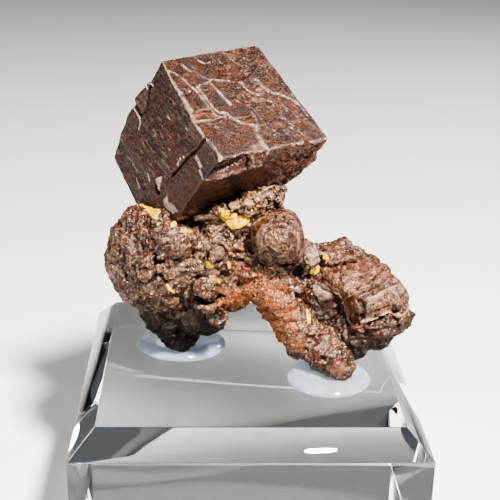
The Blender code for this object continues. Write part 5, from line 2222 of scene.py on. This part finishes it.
@dataclass
class Studio:
    """A plain pale floor under a plain sky, with soft lamps."""

    aim: Triple = (0.0, 0.0, 0.04)
    floor_colour: tuple = linear(214, 212, 208)
    floor_roughness: float = 0.85
    sky: tuple = (0.86, 0.88, 0.92, 1.0)
    sky_strength: float = 0.15
    lamps: tuple = (
        Lamp("key", (0.12, -0.2, 0.36), 0.06, 7.0, (1.0, 0.97, 0.93)),
        Lamp("fill", (-0.34, -0.2, 0.16), 0.16, 1.2, (0.95, 0.96, 1.0)),
        Lamp("rim", (0.3, 0.3, 0.3), 0.12, 0.5),
    )

    def build(self) -> None:
        """Sets the floor, the sky and the lamps up."""
        choose_none()
        bpy.ops.mesh.primitive_plane_add(size=6.0, location=(0.0, 0.0, -0.0004))
        floor = bpy.context.object
        floor.name = "floor"
        floor.data.materials.append(Plain("floor", self.floor_colour, self.floor_roughness).make())
        world = bpy.data.worlds.new("studio")
        bpy.context.scene.world = world
        world.use_nodes = True
        sky = world.node_tree.nodes["Background"]
        sky.inputs["Color"].default_value = self.sky
        sky.inputs["Strength"].default_value = self.sky_strength
        for lamp in self.lamps:
            lamp.build(Vector(self.aim))
        bpy.context.scene.view_settings.look = "AgX - High Contrast"


class Specimen:
    """The whole object: the limonite, its clear block and its gel pads."""

    def build(self) -> None:
        """Builds and dresses every piece in order."""
        limonite = Limonite().make()
        clear = Plain("clear_acrylic", linear(250, 252, 253), 0.0, 1.49, 1.0).make()
        gel = Plain("clear_gel", linear(232, 240, 253), 0.12, 1.43, 0.8, 0.1).make()
        stones = (BigCube(), *MATRIX, FlatCrystal(), Knob())
        plans = [(stone, limonite, "specimen", "limonite") for stone in stones]
        left = GelPad("gel_left", (-10.2, 3.3), 6.9, 1.5, squash=0.88, seed=3)
        right = GelPad("gel_right", (12.1, -8.4), 6.2, 1.3, seed=5)
        plans += [
            (StandBlock(), clear, "acrylic_base", "clear_acrylic"),
            (left, gel, "gel_pad_left", "clear_gel"),
            (right, gel, "gel_pad_right", "clear_gel"),
        ]
        for plan, material, node, slot in plans:
            piece = plan.build()
            dress_up(piece, material, node)
            LOG.info("%s: %d faces", piece.name, len(piece.data.polygons))


def main() -> None:
    """Builds the object, its studio and its camera."""
    logging.basicConfig(level=logging.INFO, format="%(message)s")
    Specimen().build()
    Studio().build()
    EYE.build()


if __name__ == "__main__":
    main()
